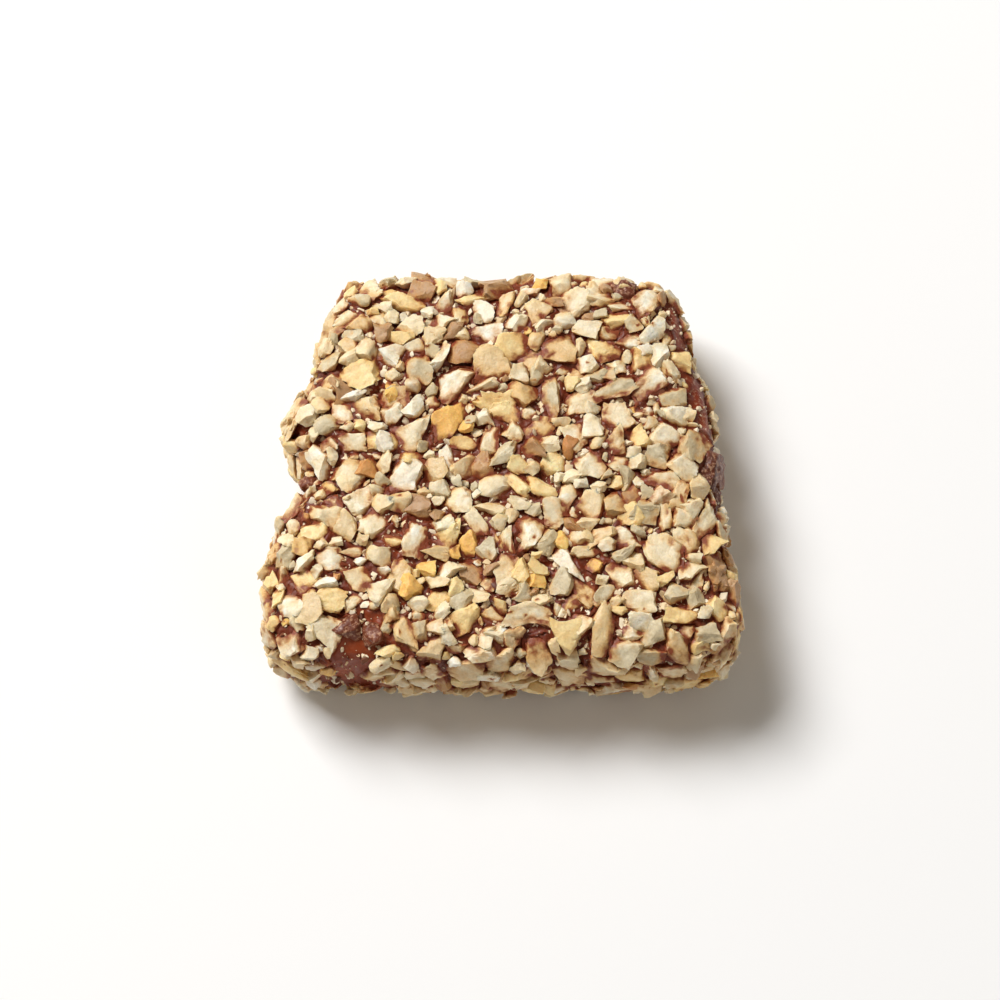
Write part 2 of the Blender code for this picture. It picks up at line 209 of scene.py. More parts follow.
# %% Named chips: x, y, length, width for a length of 1, breaks round the side, turn in degrees
Chip = namedtuple("Chip", "place length width thickness side_breaks spin")
FOOT_CHIPS = {
    "middle_foot": (0.0, 0.0, 3.6, 0.80, 5, 20.0),
    "front_left_foot": (-12.6, -12.4, 3.6, 0.78, 4, 50.0),
    "front_right_foot": (13.4, -12.6, 3.6, 0.80, 5, -35.0),
    "back_right_foot": (13.0, 12.2, 3.6, 0.74, 4, 40.0),
    "back_left_foot": (-12.8, 11.8, 3.6, 0.82, 5, -50.0),
}
TOP_CHIPS = {
    "oval_flake": (-4.5, 7.7, 4.9, 0.47, 7, 35.0),
    "long_flake": (10.0, 7.3, 4.6, 0.40, 6, 20.0),
    "tall_chip": (8.5, -15.2, 4.6, 0.60, 6, 90.0),
    "broad_chunk": (-7.7, -6.8, 4.0, 0.67, 5, 95.0),
    "arched_chip": (2.2, -14.2, 3.9, 0.52, 5, -4.0),
    "right_lower_oval": (14.4, -8.7, 3.8, 0.72, 6, -60.0),
    "grey_crescent": (4.1, 6.4, 3.7, 0.48, 5, 97.0),
    "split_halves": (2.2, -6.6, 3.7, 0.70, 5, 60.0),
    "right_upper_block": (13.0, 7.8, 3.7, 0.62, 4, 50.0),
    "pale_wedge": (-9.1, -1.5, 3.6, 0.78, 3, 20.0),
    "white_ridge": (5.5, -9.0, 3.6, 0.44, 5, -45.0),
    "shield": (9.9, 4.2, 3.6, 0.68, 5, 100.0),
    "upright_block": (-1.3, 2.1, 3.4, 0.60, 4, 90.0),
    "far_right_wedge": (17.6, -5.2, 3.4, 0.60, 3, 60.0),
    "yellow_bar": (15.6, -14.0, 3.3, 0.48, 4, 5.0),
    "golden_orange": (-5.3, 3.7, 3.3, 0.62, 4, 70.0),
    "stained_left": (-12.8, 8.4, 3.2, 0.70, 4, 30.0),
    "olive_crescent": (3.1, -2.2, 3.2, 0.52, 5, -25.0),
    "lower_right_slab": (10.2, -6.6, 3.2, 0.62, 4, -5.0),
    "tilted_left": (-10.3, 10.3, 3.1, 0.62, 4, -40.0),
    "crescent": (1.2, -1.7, 3.1, 0.48, 5, -50.0),
    "mid_left": (-11.0, -5.4, 3.0, 0.72, 4, 40.0),
    "left_low_big": (-15.4, -9.2, 3.0, 0.80, 5, 10.0),
    "golden_pentagon": (0.4, 11.0, 2.9, 0.85, 5, 20.0),
    "yellow_square": (8.5, 11.1, 2.9, 0.85, 4, 15.0),
    "star_chip": (-4.1, -3.2, 2.8, 0.82, 5, 0.0),
    "left_upper_grey": (-15.6, 9.8, 2.8, 0.80, 5, 0.0),
    "white_top": (-1.6, 12.8, 2.8, 0.75, 5, 20.0),
    "chunk_low": (12.0, -12.7, 2.8, 0.85, 5, 0.0),
    "left_pentagon": (-13.6, 2.3, 2.7, 0.85, 5, 0.0),
    "right_upper_round": (15.0, 6.3, 2.7, 0.88, 6, 0.0),
    "disc": (-2.9, -10.0, 2.5, 0.92, 6, 0.0),
    "round_yellow": (10.2, 0.4, 2.4, 0.90, 6, 0.0),
    "round_orange": (4.4, 0.1, 2.4, 0.90, 6, 0.0),
}
NAMED_CHIP_THICKNESS = 0.46


def named_chips():
    """The feet, and then the chips that catch the eye on the top."""
    chips = []
    for table, side in ((FOOT_CHIPS, -1.0), (TOP_CHIPS, 1.0)):
        for x, y, length, width, side_breaks, spin in table.values():
            place = on_face(x * MM, y * MM, side)
            chips.append(Chip(place, length * MM, width, NAMED_CHIP_THICKNESS, side_breaks, spin))
    return chips


print(len(named_chips()), "chips have a name")

# %% [markdown]
# The others are scattered. Pure chance would leave clumps and holes, while a grid would look
# knitted. Rolled nuts are in between: each chip tends to end where there is room. So every
# chip looks at several random places and takes the roomiest.

# %% The rule for the other large chips
CHIP_SEED = 41
CHIP_SIZES = ((3.3 * MM, 4.3 * MM, 36, False), (2.5 * MM, 3.3 * MM, 208, True))
CHIP_TRIES = 14
RIM_LEANS = (0.12, 0.93)
FLAT_SHARE_OF_SKIN = 0.64
CHIP_FAMILIES = {
    "block": (0.86, 0.62, 4),
    "flake": (0.80, 0.40, 5),
    "wedge": (0.82, 0.56, 3),
    "sliver": (0.54, 0.44, 4),
}


def random_place(rng):
    """Any place on the slab's skin, about evenly over its faces and its sides."""
    point = [rng.uniform(-1.0, 1.0) for _ in range(3)]
    flat_face = rng.random() < FLAT_SHARE_OF_SKIN
    axis = 2 if flat_face else rng.choice((0, 1))
    point[axis] = rng.choice((-1.0, 1.0))
    return on_slab(*point)


def on_rim(place):
    """Whether the skin turns from a face to a side here, where a long chip would stick out."""
    return RIM_LEANS[0] < abs(outward(place)[2]) < RIM_LEANS[1]


def large_chips():
    """The named chips and then the others, largest first."""
    rng = random.Random(CHIP_SEED)
    families = list(CHIP_FAMILIES.values())
    chips = named_chips()
    for shortest, longest, wanted, may_cross_rim in CHIP_SIZES:
        for _ in range(wanted):
            length = rng.uniform(shortest, longest)
            roomiest = None
            most_room = 0.0
            places = np.array([chip.place for chip in chips])
            lengths = np.array([chip.length for chip in chips])
            for _ in range(CHIP_TRIES):
                place = random_place(rng)
                room = (np.linalg.norm(places - place, axis=1) / (lengths + length)).min()
                if room > most_room and not is_bare(place) and (may_cross_rim or not on_rim(place)):
                    most_room = room
                    roomiest = place
            width, thickness, side_breaks = families[len(chips) % len(families)]
            spin = rng.uniform(0.0, 360.0)
            chips.append(Chip(roomiest, length, width, thickness, side_breaks, spin))
    return chips


LARGE = large_chips()
print(len(LARGE), "large chips, the longest", round(max(c.length for c in LARGE) / MM, 1), "mm")

# %% [markdown]
# ## How a nut breaks
# A chopping blade does not slice a nut, it cracks it: the kernel keeps a bit of its round
# outer face and gets a few rough, slightly hollow breaks with fairly crisp edges. A chip could
# be sculpted, or cut from a ball with Boolean modifiers. It is quicker to shrink a ball on to
# its breaks: each point moves in along its own line until it meets the nearest break. First
# come the breaks themselves: some round the side, one on either face, and one at a corner.

# %% The breaks of one chip
SIDE_BREAK_WANDER = 0.30
SIDE_BREAK_LEAN = 24.0
SIDE_BREAK_DEPTH = (0.74, 1.00)
FLAT_BREAK_DEPTH = (0.85, 1.00)
CORNER_BREAK_DEPTH = (0.84, 1.05)
CORNER_BREAKS = 1
CORNER_BREAK_RISE = (0.5, 1.0)
FLAT_BREAK_SLANT = 0.20


def chip_breaks(number, side_breaks):
    """The flat breaks of one chip: a direction and a depth for each."""
    rng = random.Random(number)
    breaks = []
    for step in range(side_breaks):
        wander = rng.uniform(-SIDE_BREAK_WANDER, SIDE_BREAK_WANDER)
        bearing = math.tau * (step + wander) / side_breaks
        lean = math.radians(rng.uniform(-SIDE_BREAK_LEAN, SIDE_BREAK_LEAN))
        flat = math.cos(lean)
        towards = Vector((flat * math.cos(bearing), flat * math.sin(bearing), math.sin(lean)))
        breaks.append((towards, rng.uniform(*SIDE_BREAK_DEPTH)))
    for side in (1.0, -1.0):
        slants = [rng.uniform(-FLAT_BREAK_SLANT, FLAT_BREAK_SLANT) for _ in range(2)]
        towards = Vector((*slants, side))
        breaks.append((towards.normalized(), rng.uniform(*FLAT_BREAK_DEPTH)))
    for _ in range(CORNER_BREAKS):
        bearing = rng.uniform(0.0, math.tau)
        rise = rng.uniform(*CORNER_BREAK_RISE)
        towards = Vector((math.cos(bearing), math.sin(bearing), rise))
        breaks.append((towards.normalized(), rng.uniform(*CORNER_BREAK_DEPTH)))
    return breaks


print("chip 1 has", len(chip_breaks(1, 5)), "breaks")

# %% [markdown]
# A broken face is rough on two scales: a slow unevenness about a third of the chip wide, and a
# fine grit. `ripple` is a home-made noise for that: a few sine waves in random directions,
# added up. It is smooth, fast on many points at once, and the same on every run.

# %% A ripple for rough faces
RIPPLE_WAVES = 7
RIPPLE_SPREAD = (0.6, 1.5)


def ripple(points, seed, length):
    """A smooth random height from about -1 to 1 at each point, with bumps about length apart."""
    rng = np.random.default_rng(seed)
    ways = rng.normal(size=(RIPPLE_WAVES, 3))
    ways /= np.linalg.norm(ways, axis=1, keepdims=True)
    ways *= math.tau / length * rng.uniform(*RIPPLE_SPREAD, size=(RIPPLE_WAVES, 1))
    shifts = rng.uniform(0.0, math.tau, size=RIPPLE_WAVES)
    return np.sin(points @ ways.T + shifts).sum(axis=1) / math.sqrt(RIPPLE_WAVES)


def ball(cuts):
    """The points and triangles of a ball of radius 1."""
    mesh = bmesh.new()
    bmesh.ops.create_icosphere(mesh, subdivisions=cuts, radius=1.0)
    points = np.array([vertex.co for vertex in mesh.verts])
    corners = np.array([[vertex.index for vertex in face.verts] for face in mesh.faces])
    mesh.free()
    return points, corners


FINE_BALL = ball(5)
PLAIN_BALL = ball(4)
CRUMB_BALL = ball(1)
print("the fine ball has", len(FINE_BALL[1]), "triangles")

# %% [markdown]
# Now a ball becomes a chip. Three things make it look broken and not moulded. Points that land
# close to an edge are slid on to it, so the edge is crisp. Round bites are taken out of some
# sides, because nuts flake in shells. And many chips keep one gently curved face, which is the
# outside of the kernel: `skin` remembers where, because it is smoother and yellower there.

# %% Edges, bites and the kernel's own face
SLIDE_TO_EDGE = 0.035
SHALLOWEST_EDGE = 0.2


def slid_to_edges(points, ways, depths, distances):
    """The points, with those that nearly reach a second break slid on to its edge."""
    nearest, second = np.argsort(distances, axis=0)[:2]
    way, other_way = ways[nearest], ways[second]
    gap = depths[second] - (other_way * points).sum(axis=1)
    sideways = other_way - way * (way * other_way).sum(axis=1, keepdims=True)
    steepness = np.maximum(np.linalg.norm(sideways, axis=1), SHALLOWEST_EDGE)
    slide = gap / steepness
    close = (slide < SLIDE_TO_EDGE) & (slide > 0.0)
    moved = points + sideways * (slide / steepness)[:, None]
    return np.where(close[:, None], moved, points)


def bitten(directions, distance, middle, radius):
    """The distance along each direction, cut short where a round bite begins."""
    towards = directions @ middle
    inside = towards**2 - (middle @ middle - radius**2)
    meets = (inside > 0.0) & (towards > 0.0)
    cut = np.where(meets, towards - np.sqrt(np.maximum(inside, 0.0)), np.inf)
    return np.minimum(distance, cut)


def to_kernel_face(directions, towards, depth, radius):
    """The distance along each direction to the gently curved outside of the kernel."""
    along = directions @ ((depth - radius) * towards)
    return along + np.sqrt(along**2 - (radius - depth) ** 2 + radius**2)


def pointing(rng, lowest, highest):
    """A random direction whose Z lies between two values."""
    bearing = rng.uniform(0.0, math.tau)
    upwards = rng.uniform(lowest, highest)
    flat = math.sqrt(1.0 - upwards**2)
    return np.array([flat * math.cos(bearing), flat * math.sin(bearing), upwards])


bite = bitten(FINE_BALL[0], np.ones(len(FINE_BALL[0])), np.array([1.2, 0.0, 0.0]), 0.5)
print("a bite goes", round(1.0 - float(bite.min()), 2), "deep into a ball of radius 1")

# %% [markdown]
# The first half of the carving shrinks a ball on to its breaks and lets the kernel's outside cut
# it short. Each break is a little hollow or a little full, never a true plane. A corner that
# sticks out too far is cut back to a ball's own round, because on a real nut it snaps off.

# %% Shrink a ball on to its breaks
EDGE_ON = 0.02
BREAK_HOLLOW = (-0.05, 0.10)
ROUND_CORNERS = 1.58
KERNEL_FACE_SHARE = 0.6
KERNEL_FACE_RISE = (-0.2, 1.0)
KERNEL_FACE_DEPTH = (0.84, 0.98)
KERNEL_FACE_RADIUS = (1.5, 2.6)
SKIN_SHARPNESS = 30.0


def shrunk_to_breaks(directions, breaks, rng):
    """The directions from a chip's middle to its points, and how far out each point is."""
    ways = np.array([towards for towards, _depth in breaks])
    depths = np.array([depth for _towards, depth in breaks])
    along = np.maximum(directions @ ways.T, EDGE_ON).T
    off_middle = (1.0 - along**2) / along**2
    hollows = rng.uniform(*BREAK_HOLLOW, len(breaks))[:, None] * np.maximum(0.0, 1.0 - off_middle)
    distances = (depths[:, None] - hollows) / along
    points = directions * distances.min(axis=0)[:, None]
    points = slid_to_edges(points, ways, depths, distances)
    distance = np.linalg.norm(points, axis=1)
    return points / distance[:, None], np.minimum(distance, ROUND_CORNERS)


def cut_by_kernel_face(directions, distance, kernel_side, rng):
    """The distances with the kernel's outside as a face of the chip, and where that face is."""
    skin = np.zeros(len(distance))
    if kernel_side or rng.random() < KERNEL_FACE_SHARE:
        towards = pointing(rng, *KERNEL_FACE_RISE)
        towards = np.array(kernel_side) if kernel_side else towards
        depth = rng.uniform(*KERNEL_FACE_DEPTH)
        radius = rng.uniform(*KERNEL_FACE_RADIUS)
        face = to_kernel_face(directions, towards, depth, radius)
        skin = np.clip((distance - face) * SKIN_SHARPNESS + 0.5, 0.0, 1.0)
        distance = np.minimum(distance, face)
    return distance, skin


_ways, reaches = shrunk_to_breaks(FINE_BALL[0], chip_breaks(1, 5), np.random.default_rng(1))
print("the corners of chip 1 are up to", round(float(reaches.max()), 2), "from its middle")

# %% [markdown]
# The steps come together in `carve`. It works in a space of the chip's own, where length, width
# and thickness each run from -1 to 1, so one form can serve for chips of many sizes. A broken
# face is rough and the kernel's outside is nearly smooth, so the roughness is held back there.
# A form as fine as this would be heavy over a thousand times. The Decimate modifier takes the
# triangles out of the flat parts at the end and leaves them along the edges. Last, `skin` is
# raised towards the chip's rim, which paints a darker, yellower shade there.

# %% Carve a chip
Form = namedtuple("Form", "points corners skin")
CARVE_SEED = 1000
PLAIN_UP_TO = 250
ROUGH_BREAK = (0.050, 0.9)
FINE_GRIT = (0.034, 0.32)
GRIT_SEED = 500
SMOOTH_SKIN_SHARE = 0.35
CRUMBLY_SHARE = 0.08
CRUMBLY_ROUGHNESS = 2.0
BITES = (0, 0, 0, 1, 1, 2)
BITE_RISE = (-0.2, 0.4)
BITE_DISTANCE = (1.10, 1.35)
BITE_RADIUS = (0.36, 0.60)
# Painted shade at each chip's rim: where it starts and ends, and how strong it gets.
RIM_SHADE_SPAN = (0.55, 1.10)
RIM_PAINTED_SHADE = 0.60
BEND_LEVEL = 0.4


def thinned(points, corners, triangles):
    """The same form with about so many triangles, by the Decimate modifier."""
    mesh = bpy.data.meshes.new("chip")
    mesh.from_pydata(points.tolist(), [], corners.tolist())
    thing = bpy.data.objects.new("chip", mesh)
    bpy.context.scene.collection.objects.link(thing)
    thinner = thing.modifiers.new("thin", "DECIMATE")
    thinner.ratio = triangles / len(corners)
    thinner.use_collapse_triangulate = True
    evaluated = thing.evaluated_get(bpy.context.evaluated_depsgraph_get())
    result = evaluated.to_mesh()
    points = np.empty(len(result.vertices) * 3)
    result.vertices.foreach_get("co", points)
    corners = np.empty(len(result.polygons) * 3, dtype=np.int32)
    result.loops.foreach_get("vertex_index", corners)
    evaluated.to_mesh_clear()
    bpy.data.objects.remove(thing)
    bpy.data.meshes.remove(mesh)
    return points.reshape(-1, 3), corners.reshape(-1, 3)


def carve(
    number, side_breaks, triangles, bend=0.0, taper=0.0, longer=1.0, own_bites=None, kernel_side=None
):
    """One chip in a space where its length, width and thickness each run from -1 to 1."""
    rng = np.random.default_rng(CARVE_SEED + number * 10 + side_breaks)
    directions, corners = FINE_BALL if triangles > PLAIN_UP_TO else PLAIN_BALL
    directions, distance = shrunk_to_breaks(directions, chip_breaks(number, side_breaks), rng)
    bites = [
        (pointing(rng, *BITE_RISE) * rng.uniform(*BITE_DISTANCE), rng.uniform(*BITE_RADIUS))
        for _ in range(rng.choice(BITES))
    ]
    for middle, radius in bites if own_bites is None else own_bites:
        distance = bitten(directions, distance, np.array(middle), radius)
    distance, skin = cut_by_kernel_face(directions, distance, kernel_side, rng)
    points = directions * distance[:, None]
    crumbly = CRUMBLY_ROUGHNESS if rng.random() < CRUMBLY_SHARE else 1.0
    relief = ROUGH_BREAK[0] * ripple(points, number, ROUGH_BREAK[1])
    relief = relief + FINE_GRIT[0] * ripple(points, number + GRIT_SEED, FINE_GRIT[1])
    relief = relief * crumbly * (1.0 - skin * (1.0 - SMOOTH_SKIN_SHARE))
    points = points * (1.0 + relief)[:, None]
    whole = KDTree(len(points))
    for index, point in enumerate(points):
        whole.insert(point, index)
    whole.balance()
    points, corners = thinned(points, corners, triangles)
    skin = skin[[whole.find(point)[1] for point in points]]
    # Painted shade: towards its rim a chip takes part of the skin's darker, yellower tone.
    rim_shade = np.interp(np.hypot(points[:, 0], points[:, 1]), RIM_SHADE_SPAN, (0.0, RIM_PAINTED_SHADE))
    skin = np.maximum(skin, rim_shade)
    points[:, 1] *= 1.0 - taper * points[:, 0]
    points[:, 1] += bend * (points[:, 0] ** 2 - BEND_LEVEL)
    points[:, 0] *= longer
    return Form(points, corners, skin)


trial = carve(3, 5, 560)
print("a chip of", len(trial.corners), "triangles,", round(float(trial.skin.mean()), 2), "skin")

# %% [markdown]
# ## Setting a chip in the chocolate
# Each chip is stretched to its size, turned square to the skin, spun, tilted a little and
# pushed in until only part of its height shows. The numbers come from the same seeded draws as
# the solid's. What would reach under the surface that the piece rests on is worn flat. A few
# chips with a name also bend, narrow to one end or keep bites of their own, as the real ones do.

# %% Turn, push in, wear
CHIP_SHOWS = (0.50, 0.72)
CHIP_HIGHEST = 1.15 * MM
CHIP_TILT = 11.0
STEEPEST_TOWARDS_X = 0.8
FOOT_WEAR = 0.25 * MM
WORN_ABOVE_FEET = (0.28 * MM, 0.46 * MM)
LARGE_CHIP_TRIANGLES = 700
OWN_FORMS = {
    "arched_chip": {"bend": -0.40, "own_bites": [((0.15, -1.15, 0.0), 0.85)]},
    "crescent": {"bend": 0.40},
    "olive_crescent": {"bend": 0.30},
    "grey_crescent": {"bend": 0.22},
    "tall_chip": {"taper": 0.30, "own_bites": [], "kernel_side": (0.0, 0.0, 1.0)},
    "oval_flake": {"own_bites": []},
    "long_flake": {"own_bites": []},
    "golden_orange": {"own_bites": [], "taper": -0.25, "longer": 1.25},
    "disc": {"own_bites": []},
    "white_ridge": {"own_bites": [((1.30, 0.0, 0.0), 0.66)]},
}
Laid = namedtuple("Laid", "points corners skin height place length upright tag")


def square_to(upright):
    """The turn that stands Z on a direction, with X as near as it can be to the slab's X."""
    upright = Vector(upright)
    sideways = Vector((1.0, 0.0, 0.0))
    if abs(upright.x) > STEEPEST_TOWARDS_X:
        sideways = Vector((0.0, 1.0, 0.0))
    sideways = (sideways - upright * sideways.dot(upright)).normalized()
    return Matrix((sideways, upright.cross(sideways), upright)).transposed()


def turned(upright, spin, tilts):
    """The turn that stands a chip's own Z on a direction, with a spin and two small tilts."""
    turn = square_to(upright) @ Matrix.Rotation(math.radians(spin), 3, "Z")
    turn = turn @ Matrix.Rotation(math.radians(tilts[0]), 3, "X")
    turn = turn @ Matrix.Rotation(math.radians(tilts[1]), 3, "Y")
    return np.array(turn)


def lay(form, size, place, turn, proud, worn_level, tag):
    """Lay a chip form so that it stands proud of its place by so much."""
    upright = outward(place)
    highest = form.points[:, 2].max() * size[2]
    middle = place + upright * (proud - highest)
    points = middle + (form.points * size) @ turn.T
    points[:, 2] = np.maximum(points[:, 2], worn_level)
    height = (points - place) @ upright
    return Laid(points, form.corners, form.skin, height, place, size[0] * 2.0, upright, tag)


def lay_large_chips():
    """Every large chip, on the same draws as in the solid."""
    laid = []
    names = list(FOOT_CHIPS) + list(TOP_CHIPS)
    for number, chip in enumerate(LARGE):
        rng = random.Random(CHIP_SEED * 1000 + number)
        size = np.array([1.0, chip.width, chip.thickness]) * chip.length / 2.0
        shows = rng.uniform(*CHIP_SHOWS)
        tilts = [rng.uniform(-CHIP_TILT, CHIP_TILT) for _ in range(2)]
        worn_level = rng.uniform(*WORN_ABOVE_FEET)
        name = names[number] if number < len(names) else ""
        own_form = OWN_FORMS.get(name, {})
        form = carve(number, chip.side_breaks, LARGE_CHIP_TRIANGLES, **own_form)
        tallness = (form.points[:, 2].max() - form.points[:, 2].min()) * size[2]
        proud = min(shows * tallness, CHIP_HIGHEST)
        if number < len(FOOT_CHIPS):
            proud = chip.place[2] + FOOT_WEAR
            worn_level = 0.0
        turn = turned(outward(chip.place), chip.spin, tilts)
        laid.append(lay(form, size, chip.place, turn, proud, worn_level, name))
    return laid


laid_chips = lay_large_chips()
print(len(laid_chips), "large chips laid,", sum(len(c.corners) for c in laid_chips), "triangles")

# %% [markdown]
# ## The smaller chips
# Between the large chips lie middling and small ones, some in the chocolate and some half on a
# neighbour. A physics simulation could drop them one by one, but it would take minutes. Here
# each one feels for what is under it with nine rays, leans to fit, and settles. First, a pool
# of places on the skin to choose from.

# %% A pool of places
POOL_SIZE = 50000
POOL_SEED = 7
KEPT_CLEAR = 1.05


def make_pool():
    """Many places on the skin, the way out at each, and whether chips may lie there."""
    rng = np.random.default_rng(POOL_SEED)
    cube = rng.uniform(-1.0, 1.0, size=(POOL_SIZE, 3))
    on_flat = rng.random(POOL_SIZE) < FLAT_SHARE_OF_SKIN
    axis = np.where(on_flat, 2, rng.integers(0, 2, POOL_SIZE))
    cube[np.arange(POOL_SIZE), axis] = rng.choice((-1.0, 1.0), POOL_SIZE)
    places = on_slab(cube[:, 0], cube[:, 1], cube[:, 2])
    free = np.ones(POOL_SIZE, dtype=bool)
    for middle, radius in (*BARE_PLACES, ABOVE_AMBER, UNDER_THE_ARCH):
        free &= np.linalg.norm(places - middle, axis=1) > radius * KEPT_CLEAR
    return places, outward(places), free


POOL, POOL_OUT, POOL_FREE = make_pool()
FREE_PICKS = np.flatnonzero(POOL_FREE)
print(len(POOL), "places in the pool,", len(FREE_PICKS), "of them free for chips")

# %% [markdown]
# The chocolate was still soft, so it has slow swells and small dimples, it is smoother where
# the nuts missed, and along the right-hand edge it has set as a raised bead. Underneath it stands
# out a little further and flatter, as if the piece had been pressed on a tray. Chips must know
# how high the chocolate stands before they can sink into it.

# %% How high the chocolate stands
GAP_LEVEL = 0.09 * MM
SLOW_DIMPLES = (0.20 * MM, 5.5 * MM)
QUICK_DIMPLES = (0.09 * MM, 1.1 * MM)
DIMPLE_SEED = 11
EDGE_BEAD = ((15.9, 15.2), (16.9, 12.0), (17.9, 8.4), (18.5, 4.5), (18.3, 1.0))
EDGE_BEAD_HEIGHT = 10.2 * MM
EDGE_BEAD_RISE = 0.75 * MM
EDGE_BEAD_WIDTH = 1.2 * MM
EDGE_BEAD_STEPS = 8
PATCH_ENDS = 1.25
PATCH_FADES = 0.35
BARE_SMOOTHNESS = 0.6
PRESSED_OUT = 0.15 * MM
PRESSED_BELOW = 2.2 * MM


def bead_of(skin):
    """The raised bead of bare chocolate along the right-hand edge."""
    apart = np.full(len(skin), np.inf)
    knots = np.array([(x * MM, y * MM, EDGE_BEAD_HEIGHT) for x, y in EDGE_BEAD])
    for first, second in zip(knots, knots[1:]):
        for share in np.linspace(0.0, 1.0, EDGE_BEAD_STEPS):
            on_line = first + (second - first) * share
            apart = np.minimum(apart, np.linalg.norm(skin - on_line, axis=1))
    return EDGE_BEAD_RISE * np.exp(-((apart / EDGE_BEAD_WIDTH) ** 2))


def patch_of(skin, middle, radius):
    """1 inside a round patch of the skin, fading to 0 outside it."""
    apart = np.linalg.norm(skin - middle, axis=1) / radius
    return np.clip((PATCH_ENDS - apart) / PATCH_FADES, 0.0, 1.0)


def chocolate_level(skin):
    """How far the chocolate stands out from the slab's form where no chip is near."""
    dimples = SLOW_DIMPLES[0] * ripple(skin, DIMPLE_SEED, SLOW_DIMPLES[1])
    dimples = dimples + QUICK_DIMPLES[0] * ripple(skin, DIMPLE_SEED + 1, QUICK_DIMPLES[1])
    bare = np.max([patch_of(skin, middle, radius) for middle, radius in BARE_PLACES], axis=0)
    return GAP_LEVEL + dimples * (1.0 - BARE_SMOOTHNESS * bare) + bead_of(skin)


def pressed_out(skin):
    """How much further the chocolate stands out underneath, where it was pressed on a tray."""
    return PRESSED_OUT * np.clip((PRESSED_BELOW - skin[:, 2]) / MM, 0.0, 1.0)


POOL_LEVEL = chocolate_level(POOL)
print("the chocolate stands", (np.percentile(POOL_LEVEL, (5, 95)) / MM).round(2), "mm proud")

# %% [markdown]
# A nut that drops on other nuts comes to rest on what it meets. To know what that is, a chip
# sends rays straight down to the slab: one from its middle and eight from a ring round it. All
# the chips laid so far go into one search tree first. It answers a ray in microseconds, where
# trying every chip in turn would take far too long.

# %% Feel for what is under a chip
RAY_START = 2.6 * MM
RING_RAYS = 8
RING_SHARE = 0.38


def surface_of(chips):
    """One searchable surface of many laid chips."""
    starts = np.cumsum([0] + [len(chip.points) for chip in chips[:-1]])
    points = np.concatenate([chip.points for chip in chips])
    corners = np.concatenate([chip.corners + start for chip, start in zip(chips, starts)])
    return BVHTree.FromPolygons(points.tolist(), corners.tolist())


def height_over(surface, place, upright):
    """How high above the slab's skin the surface is at a place, and 0 where nothing is."""
    start = Vector(place + upright * RAY_START)
    hit, _normal, _face, distance = surface.ray_cast(start, Vector(-upright), RAY_START)
    return 0.0 if hit is None else RAY_START - distance


def feel(surface, place, upright, length):
    """The heights under a chip: one in the middle, then eight round it from its X axis on."""
    along, across, _out = np.array(square_to(upright)).T
    heights = [height_over(surface, place, upright)]
    for step in range(RING_RAYS):
        bearing = math.tau * step / RING_RAYS
        arm = (along * math.cos(bearing) + across * math.sin(bearing)) * RING_SHARE * length
        heights.append(height_over(surface, place + arm, upright))
    return np.array(heights)


chunk = laid_chips[list(TOP_CHIPS).index("broad_chunk") + len(FOOT_CHIPS)]
felt = feel(surface_of(laid_chips), chunk.place, chunk.upright, chunk.length)
print("over and round the broad chunk, in mm:", (felt / MM).round(1))

# %% [markdown]
# A chip that settles sinks less where it lies on its neighbours than where it lies in soft
# chocolate, and it leans the way they slope. The slope comes from the rays on opposite sides of
# the ring. The surface must not outgrow the solid, so a chip that stands too high is pushed in.

# %% Let a chip settle
SINK_IN_CHOCOLATE = 0.42
SINK_ON_CHIPS = 0.20
HIGHEST_OF_ALL = 1.45 * MM
STEEPEST_LEAN = 0.5
BARELY_TOUCHED = 0.15 * MM


def settle(form, size, pick, heights, spin, tilts, worn_level, tag):
    """Lay a chip at a place of the pool, on the heights that were felt under it."""
    place, upright = POOL[pick], POOL_OUT[pick]
    ring = heights[1:]
    along, across, _out = np.array(square_to(upright)).T
    arm = 2.0 * RING_SHARE * size[0] * 2.0
    slopes = np.array([(ring[0] - ring[4]) / arm, (ring[2] - ring[6]) / arm])
    slopes = np.clip(slopes, -STEEPEST_LEAN, STEEPEST_LEAN)
    leaning = upright - slopes[0] * along - slopes[1] * across
    leaning /= np.linalg.norm(leaning)
    tallness = (form.points[:, 2].max() - form.points[:, 2].min()) * size[2]
    sink = SINK_IN_CHOCOLATE if heights.max() < BARELY_TOUCHED else SINK_ON_CHIPS
    bed = POOL_LEVEL[pick] + 0.5 * (heights.mean() + heights.max())
    proud = bed + tallness * (1.0 - sink)
    turn = turned(leaning, spin, tilts)
    chip = lay(form, size, place, turn, proud, worn_level, tag)
    too_high = max(chip.height.max() - HIGHEST_OF_ALL, 0.0)
    return lay(form, size, place, turn, proud - too_high, worn_level, tag)


print("no chip may stand more than", round(HIGHEST_OF_ALL / MM, 2), "mm over the slab")
